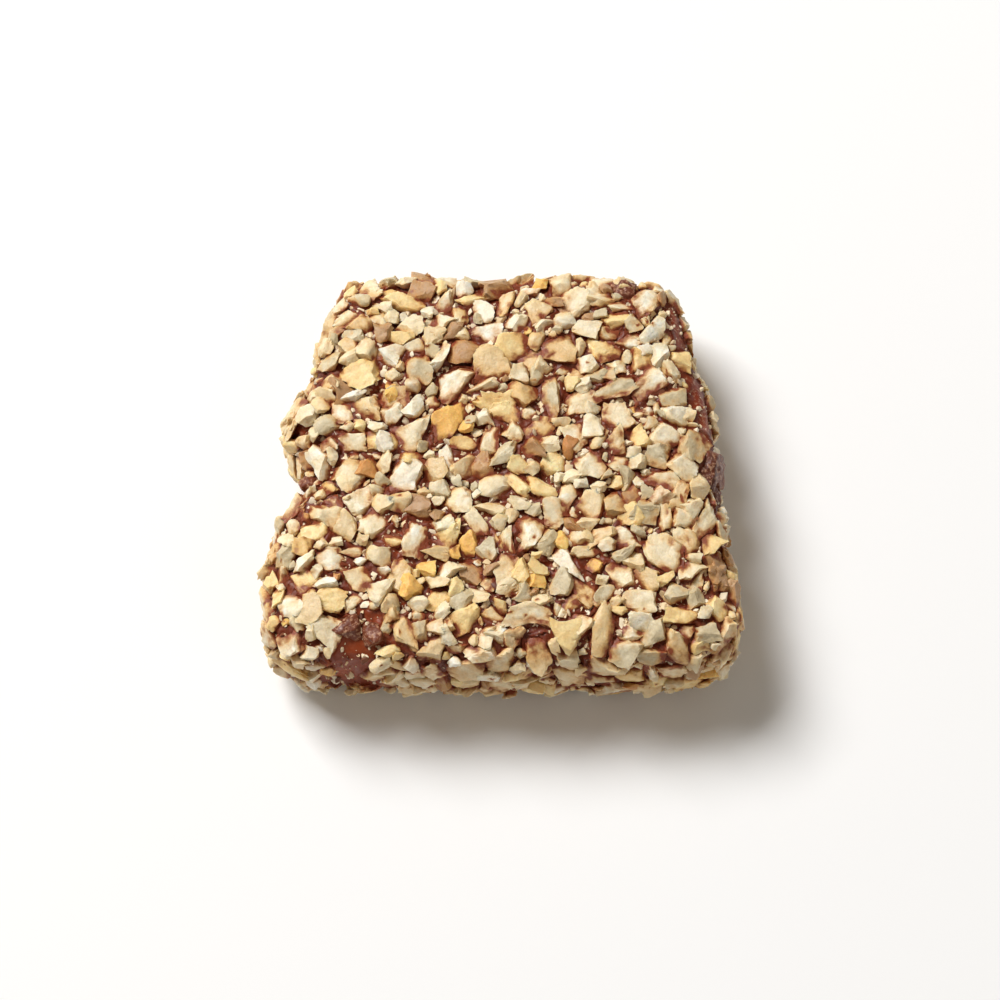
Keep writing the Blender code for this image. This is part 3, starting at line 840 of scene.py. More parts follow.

# %% [markdown]
# A few small chips are remembered for their colour or form, so they go first: an orange one, a
# crumbly white one, a thin curved stick. They are set one by one, in a table like that of the large
# chips, with a bend for the curved ones and the kind of nut for the colour. The rays and the
# settling do the rest, so none floats or sinks out of sight.

# %% Small chips with a name: x, y, length, width, breaks, bend, turn, kind
SMALL_NAMED = {
    "toasted_chunk": (-12.4, -0.3, 2.5, 0.80, 4, 0.0, 15.0, "roasted_chips"),
    "crumbly_white": (-10.8, 2.4, 1.9, 0.85, 5, 0.0, 0.0, "white_chips"),
    "orange_triangle": (-8.3, -11.2, 1.9, 0.85, 3, 0.0, 30.0, "golden_chips"),
    "orange_polygon": (-3.1, -7.4, 2.0, 0.80, 5, 0.0, 70.0, "golden_chips"),
    "orange_crumb": (2.9, -11.0, 1.6, 0.75, 4, 0.0, 10.0, "golden_chips"),
    "orange_shard": (5.6, 1.6, 1.7, 0.55, 3, 0.0, 80.0, "roasted_chips"),
    "cream_wedge": (-10.2, 4.7, 2.1, 0.75, 3, 0.0, 100.0, "cream_chips"),
    "golden_upright": (-10.0, 6.9, 1.9, 0.55, 4, 0.0, 85.0, "golden_chips"),
    "left_cream": (-8.2, 5.1, 2.2, 0.75, 4, 0.0, 40.0, "cream_chips"),
    "upper_left_cream": (-8.4, 13.2, 2.2, 0.80, 5, 0.0, 10.0, "cream_chips"),
    "far_left_cream": (-12.5, 10.9, 2.2, 0.75, 4, 0.0, 60.0, "cream_chips"),
    "light_yellow": (-8.1, 0.8, 2.0, 0.80, 4, 0.0, 20.0, "yellow_chips"),
    "hooked_chip": (3.6, 13.4, 2.4, 0.50, 4, -0.9, 10.0, "cream_chips"),
    "curved_stick": (-5.8, 9.9, 2.8, 0.30, 4, 0.5, 60.0, "cream_chips"),
    "tan_crescent": (10.2, -8.4, 2.3, 0.50, 5, 0.6, 20.0, "grey_chips"),
    "low_right_grey": (15.1, -11.9, 2.1, 0.80, 5, 0.0, 0.0, "grey_chips"),
    "low_yellow": (1.2, -10.2, 1.9, 0.80, 4, 0.0, 45.0, "yellow_chips"),
    "white_crumb": (12.6, 11.2, 1.5, 0.85, 5, 0.0, 0.0, "white_chips"),
    "waist_curl": (-18.6, -3.4, 3.0, 0.55, 5, 0.5, 50.0, "cream_chips"),
}
SMALL_NAMED_THICKNESS = 0.62
SMALL_NAMED_TRIANGLES = 400
SMALL_NAMED_TILT = 14.0
SMALL_NAMED_SEED = 7000
FIRST_SMALL_NAMED_FORM = 700
FACES_UP = 0.4


def lay_small_named(before):
    """The small chips that have a name, each settled at its own place."""
    surface = surface_of(before)
    on_top = np.where(POOL_OUT[:, 2:] > FACES_UP, POOL, np.inf)
    laid = []
    for number, (name, chip) in enumerate(SMALL_NAMED.items()):
        x, y, length, width, side_breaks, bend, spin, _kind = chip
        rng = np.random.default_rng(SMALL_NAMED_SEED + number)
        form_number = FIRST_SMALL_NAMED_FORM + number
        form = carve(form_number, side_breaks, SMALL_NAMED_TRIANGLES, bend)
        size = np.array([1.0, width, SMALL_NAMED_THICKNESS]) * length / 2.0 * MM
        pick = int(np.hypot(on_top[:, 0] - x * MM, on_top[:, 1] - y * MM).argmin())
        heights = feel(surface, POOL[pick], POOL_OUT[pick], size[0] * 2.0) - POOL_LEVEL[pick]
        heights = np.maximum(heights, 0.0)
        tilts = rng.uniform(-SMALL_NAMED_TILT, SMALL_NAMED_TILT, 2)
        laid.append(settle(form, size, pick, heights, spin, tilts, 0.0, name))
    return laid


laid_chips += lay_small_named(laid_chips)
print(len(laid_chips), "chips laid with the small ones that have a name")

# %% [markdown]
# The rest come in waves: middling ones first, then small ones for what is left. Each wave feels
# the ones before it. A chip looks for room, turns its long side to where there is least in the
# way, and leans on what it still touches. None may hide a chip that has a name. Forty forms,
# each in many sizes and turns, are enough for the eye and take far less time to carve than a
# form for every chip.

# %% Waves of smaller chips: kind, shortest, longest, number wanted, tries, triangles
WAVES = (
    ("middling", 2.0 * MM, 2.9 * MM, 300, 16, 380),
    ("middling", 1.5 * MM, 2.2 * MM, 560, 18, 320),
    ("small", 1.1 * MM, 1.7 * MM, 640, 22, 220),
    ("small", 0.7 * MM, 1.2 * MM, 700, 22, 160),
)
SMALL_FORMS = 40
FIRST_SMALL_FORM = 1000
SMALL_BENDS = (0.0, 0.0, 0.0, 0.3, 0.0, -0.4, 0.0, 0.0, 0.5, 0.0)
WAVE_TILT = 24.0
IN_THE_WAY = 0.25 * MM
LOOKED_AT = 7
MOST_COVERED = 0.24
MAY_LIE_ON_TOP = 0.10
MOST_COVERED_ON_TOP = 0.9
NAMED_WEIGHT = 3.0
NAMED_LENGTH_SHARE = 0.8
ROOM_OF_EARLIER = 0.75
EXTRA_THICKNESS = (0.9, 1.35)
RING_STEP = 45.0
SPIN_SPREAD = 15.0


def wave_forms(triangles):
    """The carved forms that the chips of one wave share."""
    families = list(CHIP_FAMILIES.values())
    forms = []
    for number in range(SMALL_FORMS):
        side_breaks = families[number % len(families)][2]
        bend = SMALL_BENDS[number % len(SMALL_BENDS)]
        forms.append(carve(FIRST_SMALL_FORM + number, side_breaks + number % 2, triangles, bend))
    return forms


def best_place(surface, named_surface, rooms, picks, length):
    """The least covered of the roomiest places, with the heights over the chocolate there."""
    best = None
    for candidate in np.argsort(-rooms)[:LOOKED_AT]:
        pick = picks[candidate]
        heights = feel(surface, POOL[pick], POOL_OUT[pick], length) - POOL_LEVEL[pick]
        named = feel(named_surface, POOL[pick], POOL_OUT[pick], length * NAMED_LENGTH_SHARE)
        named = named - POOL_LEVEL[pick]
        covered = (heights > IN_THE_WAY).mean() + NAMED_WEIGHT * (named > IN_THE_WAY).mean()
        if best is None or covered < best[0]:
            best = (covered, pick, np.maximum(heights, 0.0))
    return best


def lay_wave(before, name, shortest, longest, wanted, tries, triangles):
    """Lay a wave of chips in the room that the chips before it left."""
    rng = np.random.default_rng(len(before))
    surface = surface_of(before)
    names = {*TOP_CHIPS, *SMALL_NAMED}
    named_surface = surface_of([chip for chip in before if chip.tag in names])
    families = list(CHIP_FAMILIES.values())
    forms = wave_forms(triangles)
    places = [chip.place for chip in before]
    lengths = [chip.length * ROOM_OF_EARLIER for chip in before]
    laid = []
    for _ in range(wanted):
        length = rng.uniform(shortest, longest)
        picks = rng.choice(FREE_PICKS, tries)
        gaps = np.linalg.norm(POOL[picks][:, None] - np.array(places)[None], axis=2)
        rooms = (gaps / (np.array(lengths) + length)).min(axis=1)
        covered, pick, heights = best_place(surface, named_surface, rooms, picks, length)
        if covered > (MOST_COVERED_ON_TOP if rng.random() < MAY_LIE_ON_TOP else MOST_COVERED):
            continue
        form_number = int(rng.integers(0, SMALL_FORMS))
        width, thickness, _side_breaks = families[form_number % len(families)]
        size = np.array([1.0, width, thickness * rng.uniform(*EXTRA_THICKNESS)]) * length / 2.0
        freest = int((heights[1:5] + heights[5:]).argmin())
        spin = freest * RING_STEP + rng.uniform(-SPIN_SPREAD, SPIN_SPREAD)
        tilts = rng.uniform(-WAVE_TILT, WAVE_TILT, 2)
        worn_level = rng.uniform(*WORN_ABOVE_FEET)
        laid.append(settle(forms[form_number], size, pick, heights, spin, tilts, worn_level, name))
        places.append(POOL[pick])
        lengths.append(length)
    return laid


for wave in WAVES:
    laid_chips += lay_wave(laid_chips, *wave)
    print(wave[0], "chips laid, now", len(laid_chips), "in all")

# %% [markdown]
# ## The chocolate
# In the gaps the chocolate climbs a little way up every chip, the way coffee climbs a sugar
# lump, and between them it is dimpled and dull. It could be a bump map on a flat face, but a
# gap seen from the side would give that away. So it is a fine mesh of its own: a cube cut into
# small cells, laid on the slab's form, and pushed out to its level and a bit up every chip.

# %% A fine cube, laid on the slab
COAT_CELLS_ACROSS = 164
COAT_CELLS_UP = 52


def fine_cube():
    """The points and quads of a cube's skin from -1 to 1, in small cells."""
    mesh = bmesh.new()
    bmesh.ops.create_cube(mesh, size=2.0)
    upright = [e for e in mesh.edges if abs(e.verts[0].co.z - e.verts[1].co.z) > 1.0]
    bmesh.ops.subdivide_edges(mesh, edges=upright, cuts=COAT_CELLS_UP - 1, use_grid_fill=True)
    for axis in (0, 1):
        along = [e for e in mesh.edges if abs(e.verts[0].co[axis] - e.verts[1].co[axis]) > 1.0]
        bmesh.ops.subdivide_edges(mesh, edges=along, cuts=COAT_CELLS_ACROSS - 1, use_grid_fill=True)
    points = np.array([vertex.co for vertex in mesh.verts])
    corners = np.array([[vertex.index for vertex in face.verts] for face in mesh.faces])
    mesh.free()
    return points, corners


cube_points, coat_corners = fine_cube()
coat_skin = on_slab(cube_points[:, 0], cube_points[:, 1], cube_points[:, 2])
coat_out = outward(coat_skin)
print("the coat has", len(coat_corners), "cells")

# %% [markdown]
# Soft chocolate wets a nut: it is drawn a little way up each side that it touches and stays
# lower between. A Shrinkwrap modifier could pull the coat on to the chips, but it would cover
# them whole. Here each point of the coat looks for the nearest chip and rises by a share of the
# chip's length that fades with the distance. Two values are kept for the finish: `near_chip_shade`
# is 1 where a chip touches the chocolate and sets the painted shade in the gaps, and `amber` is 1
# where the chocolate is thin.

# %% Push the coat out
CLIMB_SHARE = 0.16
CLIMB_WIDTH = 0.30 * MM
CLIMB_FADE = 1.5
LOOKS_FOR_CHIPS = 4.0 * CLIMB_WIDTH
# How far from a chip the painted shade in the gaps reaches.
GAP_SHADE_WIDTH = 0.50 * MM
LOWEST_CHOCOLATE = 0.35 * MM


def near_chips(skin, out, level):
    """How far the chocolate climbs up the nearest chip, and how near it is for painted shade, 1 where
    it touches.
    """
    chips = surface_of(laid_chips)
    triangles = [len(chip.corners) for chip in laid_chips]
    lengths = np.repeat([chip.length for chip in laid_chips], triangles)
    climb = np.zeros(len(skin))
    near_chip_shade = np.zeros(len(skin))
    for index, point in enumerate(skin + out * level[:, None]):
        _near, normal, face, apart = chips.find_nearest(Vector(point), LOOKS_FOR_CHIPS)
        if apart is not None:
            sideways = math.sqrt(max(0.0, 1.0 - normal.dot(Vector(out[index])) ** 2))
            fading = math.exp(-((apart / CLIMB_WIDTH) ** CLIMB_FADE))
            climb[index] = CLIMB_SHARE * lengths[face] * sideways * fading
            near_chip_shade[index] = math.exp(-((apart / GAP_SHADE_WIDTH) ** 2))
    return climb, near_chip_shade


amber_places = [(np.array(middle) * MM, radius * MM) for middle, radius in AMBER_PLACES]
amber_places.append(ABOVE_AMBER)
amber = np.max([patch_of(coat_skin, *amber_place) for amber_place in amber_places], axis=0)
level = chocolate_level(coat_skin) + pressed_out(coat_skin)
climb, near_chip_shade = near_chips(coat_skin, coat_out, level)
push = level + climb
coat_points = coat_skin + coat_out * push[:, None]
coat_points[:, 2] = np.maximum(coat_points[:, 2], LOWEST_CHOCOLATE)
print("the coat is pushed out by up to", round(push.max() / MM, 2), "mm")

# %% [markdown]
# Here and there the chocolate has gathered into lumps: over a buried nut, at the waist on the
# left, and as the set drip on the right-hand edge. They could be sculpted, but there is a chip
# carver at hand. So each is a carved chip under a thick coat, which rounds a third of its form.

# %% Lumps of chocolate: place and size along each axis
LUMPS = {
    "waist_lump": ((-17.5, -1.0, 9.5), (0.95, 0.85, 0.8)),
    "front_left_lump": ((-13.7, -14.9, 11.3), (1.25, 1.1, 0.9)),
    "front_left_small_lump": ((-11.8, -15.5, 11.1), (1.05, 1.1, 0.9)),
    "right_low_lump": ((14.0, -11.2, 11.3), (0.8, 1.1, 0.7)),
    "left_gap_lump": ((-15.7, 3.4, 11.0), (1.2, 1.3, 0.6)),
    "left_gap_small_lump": ((-15.0, 5.0, 11.1), (0.9, 0.8, 0.6)),
    "back_edge_lump": ((10.6, 17.0, 10.6), (1.5, 0.9, 1.0)),
    "front_edge_lump": ((0.8, -17.2, 9.0), (1.4, 0.9, 1.1)),
    "drip": (tuple(DRIP_PLACE / MM), tuple(DRIP_SIZE / MM)),
    "drip_foot": ((18.3, -2.2, 7.6), (1.0, 1.3, 1.6)),
}
LUMP_COAT = 0.35
FIRST_LUMP_FORM = 300
LUMP_BREAKS = 5
LUMP_TRIANGLES = 2000
LUMP_SWELL = (0.12, 1.2)
LUMP_DIMPLES = (0.14, 0.5)
LUMP_DIMPLE_SEED = 50


def coated_chip(number):
    """A chip of radius 1 under a thick coat: mostly its own form, and partly a soft uneven ball."""
    form = carve(FIRST_LUMP_FORM + number, LUMP_BREAKS, LUMP_TRIANGLES)
    directions = form.points / np.linalg.norm(form.points, axis=1, keepdims=True)
    swell = 1.0 + LUMP_SWELL[0] * ripple(directions, number, LUMP_SWELL[1])
    dimples = LUMP_DIMPLES[0] * ripple(directions, number + LUMP_DIMPLE_SEED, LUMP_DIMPLES[1])
    swell = swell + dimples
    return form.points * (1.0 - LUMP_COAT) + directions * swell[:, None] * LUMP_COAT, form.corners


lumps = []
for number, (middle, size) in enumerate(LUMPS.values()):
    points, corners = coated_chip(number)
    lumps.append((np.array(middle) * MM + points * np.array(size) * MM, corners))
print(len(lumps), "lumps")

# %% [markdown]
# ## Crumbs
# Chopping also makes dust and crumbs, and they stick to the chocolate between the chips and to
# the bare places, but not to a dry chip. They take no careful carving, but there are thousands,
# so each is a tiny ball of twenty triangles with its corners pushed about.

# %% Scatter the crumbs: number wanted, smallest, largest
CRUMBS = {
    "nut_crumbs": (5200, 0.12 * MM, 0.85 * MM),
    "chocolate_crumbs": (420, 0.25 * MM, 0.75 * MM),
}
CRUMB_SEED = 97
KEPT_ON_BARE = 0.22
MOSTLY_SMALL = 3
CRUMB_STRETCH = (0.35, 1.5)
CRUMB_KNOCKS = (0.6, 1.25)
CRUMB_TILT = 40.0
CRUMB_OVER_CHOCOLATE = 0.05 * MM
CRUMB_STANDS_OUT = 0.3
LOWEST_CRUMB = 0.1 * MM


def scatter_crumbs(surface, wanted, smallest, largest, seed):
    """Crumbs down in the gaps between the chips, most of them small."""
    rng = np.random.default_rng(seed)
    directions, corners = CRUMB_BALL
    levels = POOL_LEVEL + pressed_out(POOL)
    points = []
    while len(points) < wanted:
        pick = rng.integers(0, len(POOL))
        place, upright = POOL[pick], POOL_OUT[pick]
        height = height_over(surface, place, upright)
        if height > POOL_LEVEL[pick] + IN_THE_WAY:
            continue
        if not POOL_FREE[pick] and rng.random() > KEPT_ON_BARE:
            continue
        height = max(height, levels[pick] + CRUMB_OVER_CHOCOLATE)
        radius = (smallest + (largest - smallest) * rng.random() ** MOSTLY_SMALL) / 2.0
        stretch = rng.uniform(*CRUMB_STRETCH, 3)
        spin = rng.uniform(0.0, 360.0)
        turn = turned(upright, spin, rng.uniform(-CRUMB_TILT, CRUMB_TILT, 2))
        knocked = directions * rng.uniform(*CRUMB_KNOCKS, (len(directions), 1))
        middle = place + upright * min(height + CRUMB_STANDS_OUT * radius, HIGHEST_OF_ALL)
        crumb = middle + (knocked * stretch * radius) @ turn.T
        crumb[:, 2] = np.maximum(crumb[:, 2], LOWEST_CRUMB)
        points.append(crumb)
    return np.array(points), corners


surface = surface_of(laid_chips)
crumbs = {
    name: scatter_crumbs(surface, *sizes, CRUMB_SEED + number)
    for number, (name, sizes) in enumerate(CRUMBS.items())
}
print(sum(len(points) for points, _corners in crumbs.values()), "crumbs")

# %% [markdown]
# ## Which chip has which colour
# Chopped nuts are far from one colour. Fresh breaks are cream, thin flakes look greyish
# because the chocolate shines through, some are yellow, a few were roasted to gold or brown,
# and some carry a film of chocolate. Every kind becomes one piece with a finish of its own.
# The named chips keep the colour they really have.

# %% Deal the chips out
KINDS = {
    "cream_chips": 0.31,
    "warm_cream_chips": 0.26,
    "white_chips": 0.04,
    "yellow_chips": 0.15,
    "grey_chips": 0.16,
    "golden_chips": 0.025,
    "roasted_chips": 0.010,
    "filmed_chips": 0.045,
}
ONLY_SMALL = ("golden_chips", "roasted_chips", "white_chips")
SMALL_ENOUGH = 2.2 * MM
NAMED_KINDS = {
    "golden_orange": "golden_chips",
    "golden_pentagon": "yellow_chips",
    "yellow_square": "yellow_chips",
    "long_flake": "grey_chips",
    "grey_crescent": "grey_chips",
    "right_upper_round": "grey_chips",
    "left_upper_grey": "grey_chips",
    "stained_left": "yellow_chips",
    "yellow_bar": "yellow_chips",
    "tall_chip": "warm_cream_chips",
    "arched_chip": "cream_chips",
    "crescent": "yellow_chips",
    "olive_crescent": "yellow_chips",
    "pale_wedge": "white_chips",
    "white_ridge": "white_chips",
    "white_top": "white_chips",
    "disc": "filmed_chips",
    "round_orange": "yellow_chips",
}
KIND_SEED = 5


def deal_out(chips):
    """Which kind each chip is."""
    rng = np.random.default_rng(KIND_SEED)
    shares = np.array(list(KINDS.values()))
    drawn = rng.choice(list(KINDS), size=len(chips), p=shares / shares.sum())
    known = NAMED_KINDS | {name: chip[-1] for name, chip in SMALL_NAMED.items()}
    piles = {kind: [] for kind in KINDS}
    for chip, kind in zip(chips, drawn):
        usual = "cream_chips" if chip.tag in TOP_CHIPS else str(kind)
        if usual in ONLY_SMALL and chip.length > SMALL_ENOUGH:
            usual = "warm_cream_chips"
        piles[known.get(chip.tag, usual)].append(chip)
    return piles


piles = deal_out(laid_chips)
print({kind: len(pile) for kind, pile in piles.items()})

# %% [markdown]
# ## From numbers to pieces
# Everything so far is arrays of numbers. A mesh made through `foreach_set` takes them whole,
# which is much faster than handing over one face at a time. Three values ride along on the
# points for the finishes to read: `shade` differs from chip to chip, `skin` marks the nut's
# smooth outer face and the painted shade at each chip's rim, and `stain_and_shade` says how much
# chocolate clings there, together with painted shade low on the chip and on the walls.

# %% Make a piece from arrays
def make_piece(name, points, corners, values, sharp_angle):
    """A mesh piece that rides on the frame, stands for the solid, and is shaded smooth."""
    mesh = bpy.data.meshes.new(name)
    sides = corners.shape[1]
    mesh.vertices.add(len(points))
    mesh.vertices.foreach_set("co", points.astype(np.float32).ravel())
    mesh.loops.add(corners.size)
    mesh.loops.foreach_set("vertex_index", corners.astype(np.int32).ravel())
    mesh.polygons.add(len(corners))
    mesh.polygons.foreach_set("loop_start", np.arange(0, corners.size, sides, dtype=np.int32))
    mesh.update(calc_edges=True)
    mesh.validate()
    for label, numbers in values.items():
        layer = mesh.attributes.new(label, "FLOAT", "POINT")
        layer.data.foreach_set("value", numbers.astype(np.float32))
    mesh.shade_smooth()
    mesh.set_sharp_from_angle(angle=math.radians(sharp_angle))
    piece = bpy.data.objects.new(name, mesh)
    bpy.context.scene.collection.objects.link(piece)
    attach(piece, "root")
    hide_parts("toffee_square")
    return piece


def joined(parts):
    """Many small meshes, each as points and corners, as one."""
    starts = np.cumsum([0] + [len(points) for points, _corners in parts[:-1]])
    points = np.concatenate([points for points, _corners in parts])
    corners = np.concatenate([corners + start for (_points, corners), start in zip(parts, starts)])
    return points, corners


print("two balls joined have", len(joined([CRUMB_BALL, CRUMB_BALL])[1]), "triangles")

# %% [markdown]
# A chip that was pressed into soft chocolate keeps a brown foot with an uneven upper edge. It
# could be painted by hand, but not over a thousand times. So each point of a chip measures how
# high it is over the coat, and `stain_and_shade` fades from 1 in the chocolate to 0 well above it.
# The same value also paints warm shade on the low part of each chip. Some chips were rolled
# about more than others, so each has dirt of its own. Those on the walls get more, as painted
# shade, and those that barely show are a little browner.

# %% The chips
WETTED = 0.06 * MM
STAIN_AND_SHADE_SHARE = 0.28
STAIN_AND_SHADE_AT_MOST = 0.72
STAIN_AND_SHADE_UNEVENNESS = (0.13, 1.0 * MM)
CLEAN_REACH = 0.7
DIRT_AND_SHADE_REACH = 2.0
LEAST_SHOWN = 0.2 * MM
SUNK_BELOW = 0.90 * MM
SUNK_EXTRA_BROWN = 0.15
MOSTLY_CLEAN = 4
# Painted shade on the chips of the walls, more the more sideways they face.
WALL_PAINTED_SHADE = 0.40
STAIN_SEED = 23
CHIP_SHARP_ANGLE = 46.0


def stain_of(chip, dirt_and_shade, chocolate):
    """How much chocolate clings to each point of a chip, and the painted shade low on it: 1 down in
    the chocolate, 0 well above it.
    """
    above = np.empty(len(chip.points))
    for index, point in enumerate(chip.points):
        near, normal, _face, apart = chocolate.find_nearest(Vector(point))
        above[index] = math.copysign(apart, (Vector(point) - near).dot(normal)) - WETTED
    uneven = STAIN_AND_SHADE_UNEVENNESS[0] * ripple(chip.points, STAIN_SEED, STAIN_AND_SHADE_UNEVENNESS[1])
    whole = max(above.max(), LEAST_SHOWN)
    by_length = STAIN_AND_SHADE_SHARE * chip.length * (CLEAN_REACH + DIRT_AND_SHADE_REACH * dirt_and_shade)
    by_height = STAIN_AND_SHADE_AT_MOST * whole * (1.0 + dirt_and_shade)
    sunk = SUNK_EXTRA_BROWN * max(1.0 - whole / SUNK_BELOW, 0.0) * (chip.tag not in TOP_CHIPS)
    return np.clip(1.0 - above / min(by_length, by_height) + uneven + sunk, 0.0, 1.0)


def chip_piece(kind, pile, rng):
    """All the chips of one kind as one piece."""
    points, corners = joined([(chip.points, chip.corners) for chip in pile])
    shades = rng.random(len(pile))
    dirt_and_shades = rng.random(len(pile)) ** MOSTLY_CLEAN
    dirt_and_shades[[chip.tag in TOP_CHIPS for chip in pile]] = 0.0
    # Chips on the walls get more of the brown foot, as painted shade.
    on_wall = np.array([1.0 - abs(chip.upright[2]) for chip in pile])
    dirt_and_shades = np.maximum(dirt_and_shades, WALL_PAINTED_SHADE * on_wall)
    chocolate = BVHTree.FromPolygons(coat_points.tolist(), coat_corners.tolist())
    stains_and_shade = [stain_of(chip, dirt_and_shade, chocolate) for chip, dirt_and_shade in zip(pile, dirt_and_shades)]
    values = {
        "shade": np.repeat(shades, [len(chip.points) for chip in pile]),
        "skin": np.concatenate([chip.skin for chip in pile]),
        "stain_and_shade": np.concatenate(stains_and_shade),
    }
    return make_piece(kind, points, corners, values, CHIP_SHARP_ANGLE)


rng = np.random.default_rng(STAIN_SEED)
chip_pieces = {kind: chip_piece(kind, pile, rng) for kind, pile in piles.items()}
for kind, piece in chip_pieces.items():
    print(kind, len(piece.data.polygons), "triangles")

# %% [markdown]
# The coat and the lumps become pieces in the same way. The coat carries its `amber` and its
# `near_chip_shade`, which sets the painted shade in the gaps. A lump is thick chocolate that stands
# clear of the nuts, so it carries 0 for both.

# %% The chocolate
CHOCOLATE_SHARP_ANGLE = 60.0

coat_values = {"amber": amber, "near_chip_shade": near_chip_shade}
lump_points, lump_corners = joined(lumps)
thick = np.zeros(len(lump_points))
lump_values = {"amber": thick, "near_chip_shade": thick}
chocolate_forms = {
    "chocolate_coat": (coat_points, coat_corners, coat_values),
    "chocolate_lumps": (lump_points, lump_corners, lump_values),
}
chocolate_pieces = {
    name: make_piece(name, *form, CHOCOLATE_SHARP_ANGLE) for name, form in chocolate_forms.items()
}
for name, piece in chocolate_pieces.items():
    print(name, len(piece.data.polygons), "faces")

# %% [markdown]
# All the crumbs of one kind are one piece, because thousands of objects would slow everything
# down. One random shade for each crumb is enough to tell it from its neighbours.

# %% The crumbs
CRUMB_SHARP_ANGLE = 40.0


def crumb_piece(name):
    """All the crumbs of one kind as one piece, each with its own shade."""
    points, corners = crumbs[name]
    rng = np.random.default_rng(len(points))
    shade = np.repeat(rng.random(len(points)), points.shape[1])
    whole, all_corners = joined([(crumb, corners) for crumb in points])
    piece = make_piece(name, whole, all_corners, {"shade": shade}, CRUMB_SHARP_ANGLE)
    return piece


nut_crumbs = crumb_piece("nut_crumbs")
chocolate_crumbs = crumb_piece("chocolate_crumbs")

# %% [markdown]
# ## Finishes
# A finish is a small tree of nodes, which could be drawn by hand in the Shader Editor. In
# writing, a tree is easier to repeat and to change. These helpers keep it readable: `feed` sets
# a socket from a plain value or from another node, and `blend` mixes two colours. The Mix node
# has sockets for every kind of value, so the numbers of those for colours stand in a table.

# %% Node helpers
MIX_SOCKETS = {"factor": 0, "first": 6, "second": 7, "result": 2}


def on_screen(red, green, blue):
    """A colour as a screen shows it, 0 to 255, turned into the light values that Blender uses."""
    light = []
    for value in (red, green, blue):
        share = value / 255.0
        light.append(share / 12.92 if share <= 0.04045 else ((share + 0.055) / 1.055) ** 2.4)
    return (*light, 1.0)


def new_finish(name):
    """An empty material: its node tree and its Principled shader."""
    material = bpy.data.materials.new(name)
    material.use_nodes = True
    return material, material.node_tree, material.node_tree.nodes["Principled BSDF"]


def feed(tree, socket, value):
    """Set a socket to a value, or link it where the value is another node's output."""
    if isinstance(value, bpy.types.NodeSocket):
        tree.links.new(value, socket)
    else:
        socket.default_value = value


def blend(tree, factor, first, second):
    """Mix two colours."""
    node = tree.nodes.new("ShaderNodeMix")
    node.data_type = "RGBA"
    feed(tree, node.inputs[MIX_SOCKETS["factor"]], factor)
    feed(tree, node.inputs[MIX_SOCKETS["first"]], first)
    feed(tree, node.inputs[MIX_SOCKETS["second"]], second)
    return node.outputs[MIX_SOCKETS["result"]]


def carried(tree, label):
    """A value that rides on the mesh."""
    node = tree.nodes.new("ShaderNodeAttribute")
    node.attribute_name = label
    return node.outputs["Fac"]


def grain(tree, bumps_per_metre, detail=2.0):
    """A noise fixed to the object, from 0 to 1."""
    place = tree.nodes.new("ShaderNodeTexCoord")
    node = tree.nodes.new("ShaderNodeTexNoise")
    node.inputs["Scale"].default_value = bumps_per_metre
    node.inputs["Detail"].default_value = detail
    tree.links.new(place.outputs["Object"], node.inputs["Vector"])
    return node.outputs["Fac"]


def stretch(tree, value, low, high, to_low=0.0, to_high=1.0):
    """Stretch the range low to high over another range, and cut off what lies outside."""
    node = tree.nodes.new("ShaderNodeMapRange")
    for label, number in (
        ("From Min", low),
        ("From Max", high),
        ("To Min", to_low),
        ("To Max", to_high),
    ):
        node.inputs[label].default_value = number
    feed(tree, node.inputs["Value"], value)
    return node.outputs["Result"]


def add(tree, first, second):
    """The sum of two values."""
    node = tree.nodes.new("ShaderNodeMath")
    node.operation = "ADD"
    feed(tree, node.inputs[0], first)
    feed(tree, node.inputs[1], second)
    return node.outputs[0]


def scaled(tree, colour, factor):
    """A colour made lighter or darker by a factor."""
    node = tree.nodes.new("ShaderNodeVectorMath")
    node.operation = "SCALE"
    feed(tree, node.inputs["Vector"], colour)
    feed(tree, node.inputs["Scale"], factor)
    return node.outputs["Vector"]


def bumped(tree, height, distance, strength, below=None):
    """A bump from a height, laid over another bump where one is given."""
    node = tree.nodes.new("ShaderNodeBump")
    node.inputs["Distance"].default_value = distance
    node.inputs["Strength"].default_value = strength
    feed(tree, node.inputs["Height"], height)
    if below is not None:
        tree.links.new(below, node.inputs["Normal"])
    return node.outputs["Normal"]


print("half grey on a screen is", round(on_screen(128, 128, 128)[0], 2), "of the full light")

# %% [markdown]
# A nut lets light in a little, which is why its thin edges glow and its shadows are soft. The
# Principled shader's subsurface does that. The colour runs between a light and a deep tone
# from chip to chip and is yellower on the skin. It is also yellower at each chip's rim and warm
# brown low on the chip, both painted shade, and it turns to chocolate where it was pressed in.
# A grain is given in bumps for each metre, so 1000 of them means about one in a millimetre.

# %% The finish of a nut
CHOCOLATE_FILM = on_screen(140, 60, 27)
# Painted warm shade low on each chip, partly the tint of the chocolate that wets its foot.
CARAMEL_STAIN_AND_WARM_SHADE = on_screen(218, 168, 92)
NUT_GRAINS = {"mottle": 800.0, "relief": 1300.0, "stain_and_shade": 1500.0, "sheen": 2600.0, "grit": 5200.0}
NUT_ROUGHNESS = (0.42, 0.64)
LIGHT_GOES_IN = 0.22 * MM
LIGHT_GOES_IN_BY_COLOUR = (1.0, 0.90, 0.78)
SUBSURFACE_SHARE = 0.85
NUT_RELIEF = (0.22 * MM, 0.80)
NUT_GRIT = (0.035 * MM, 0.55)


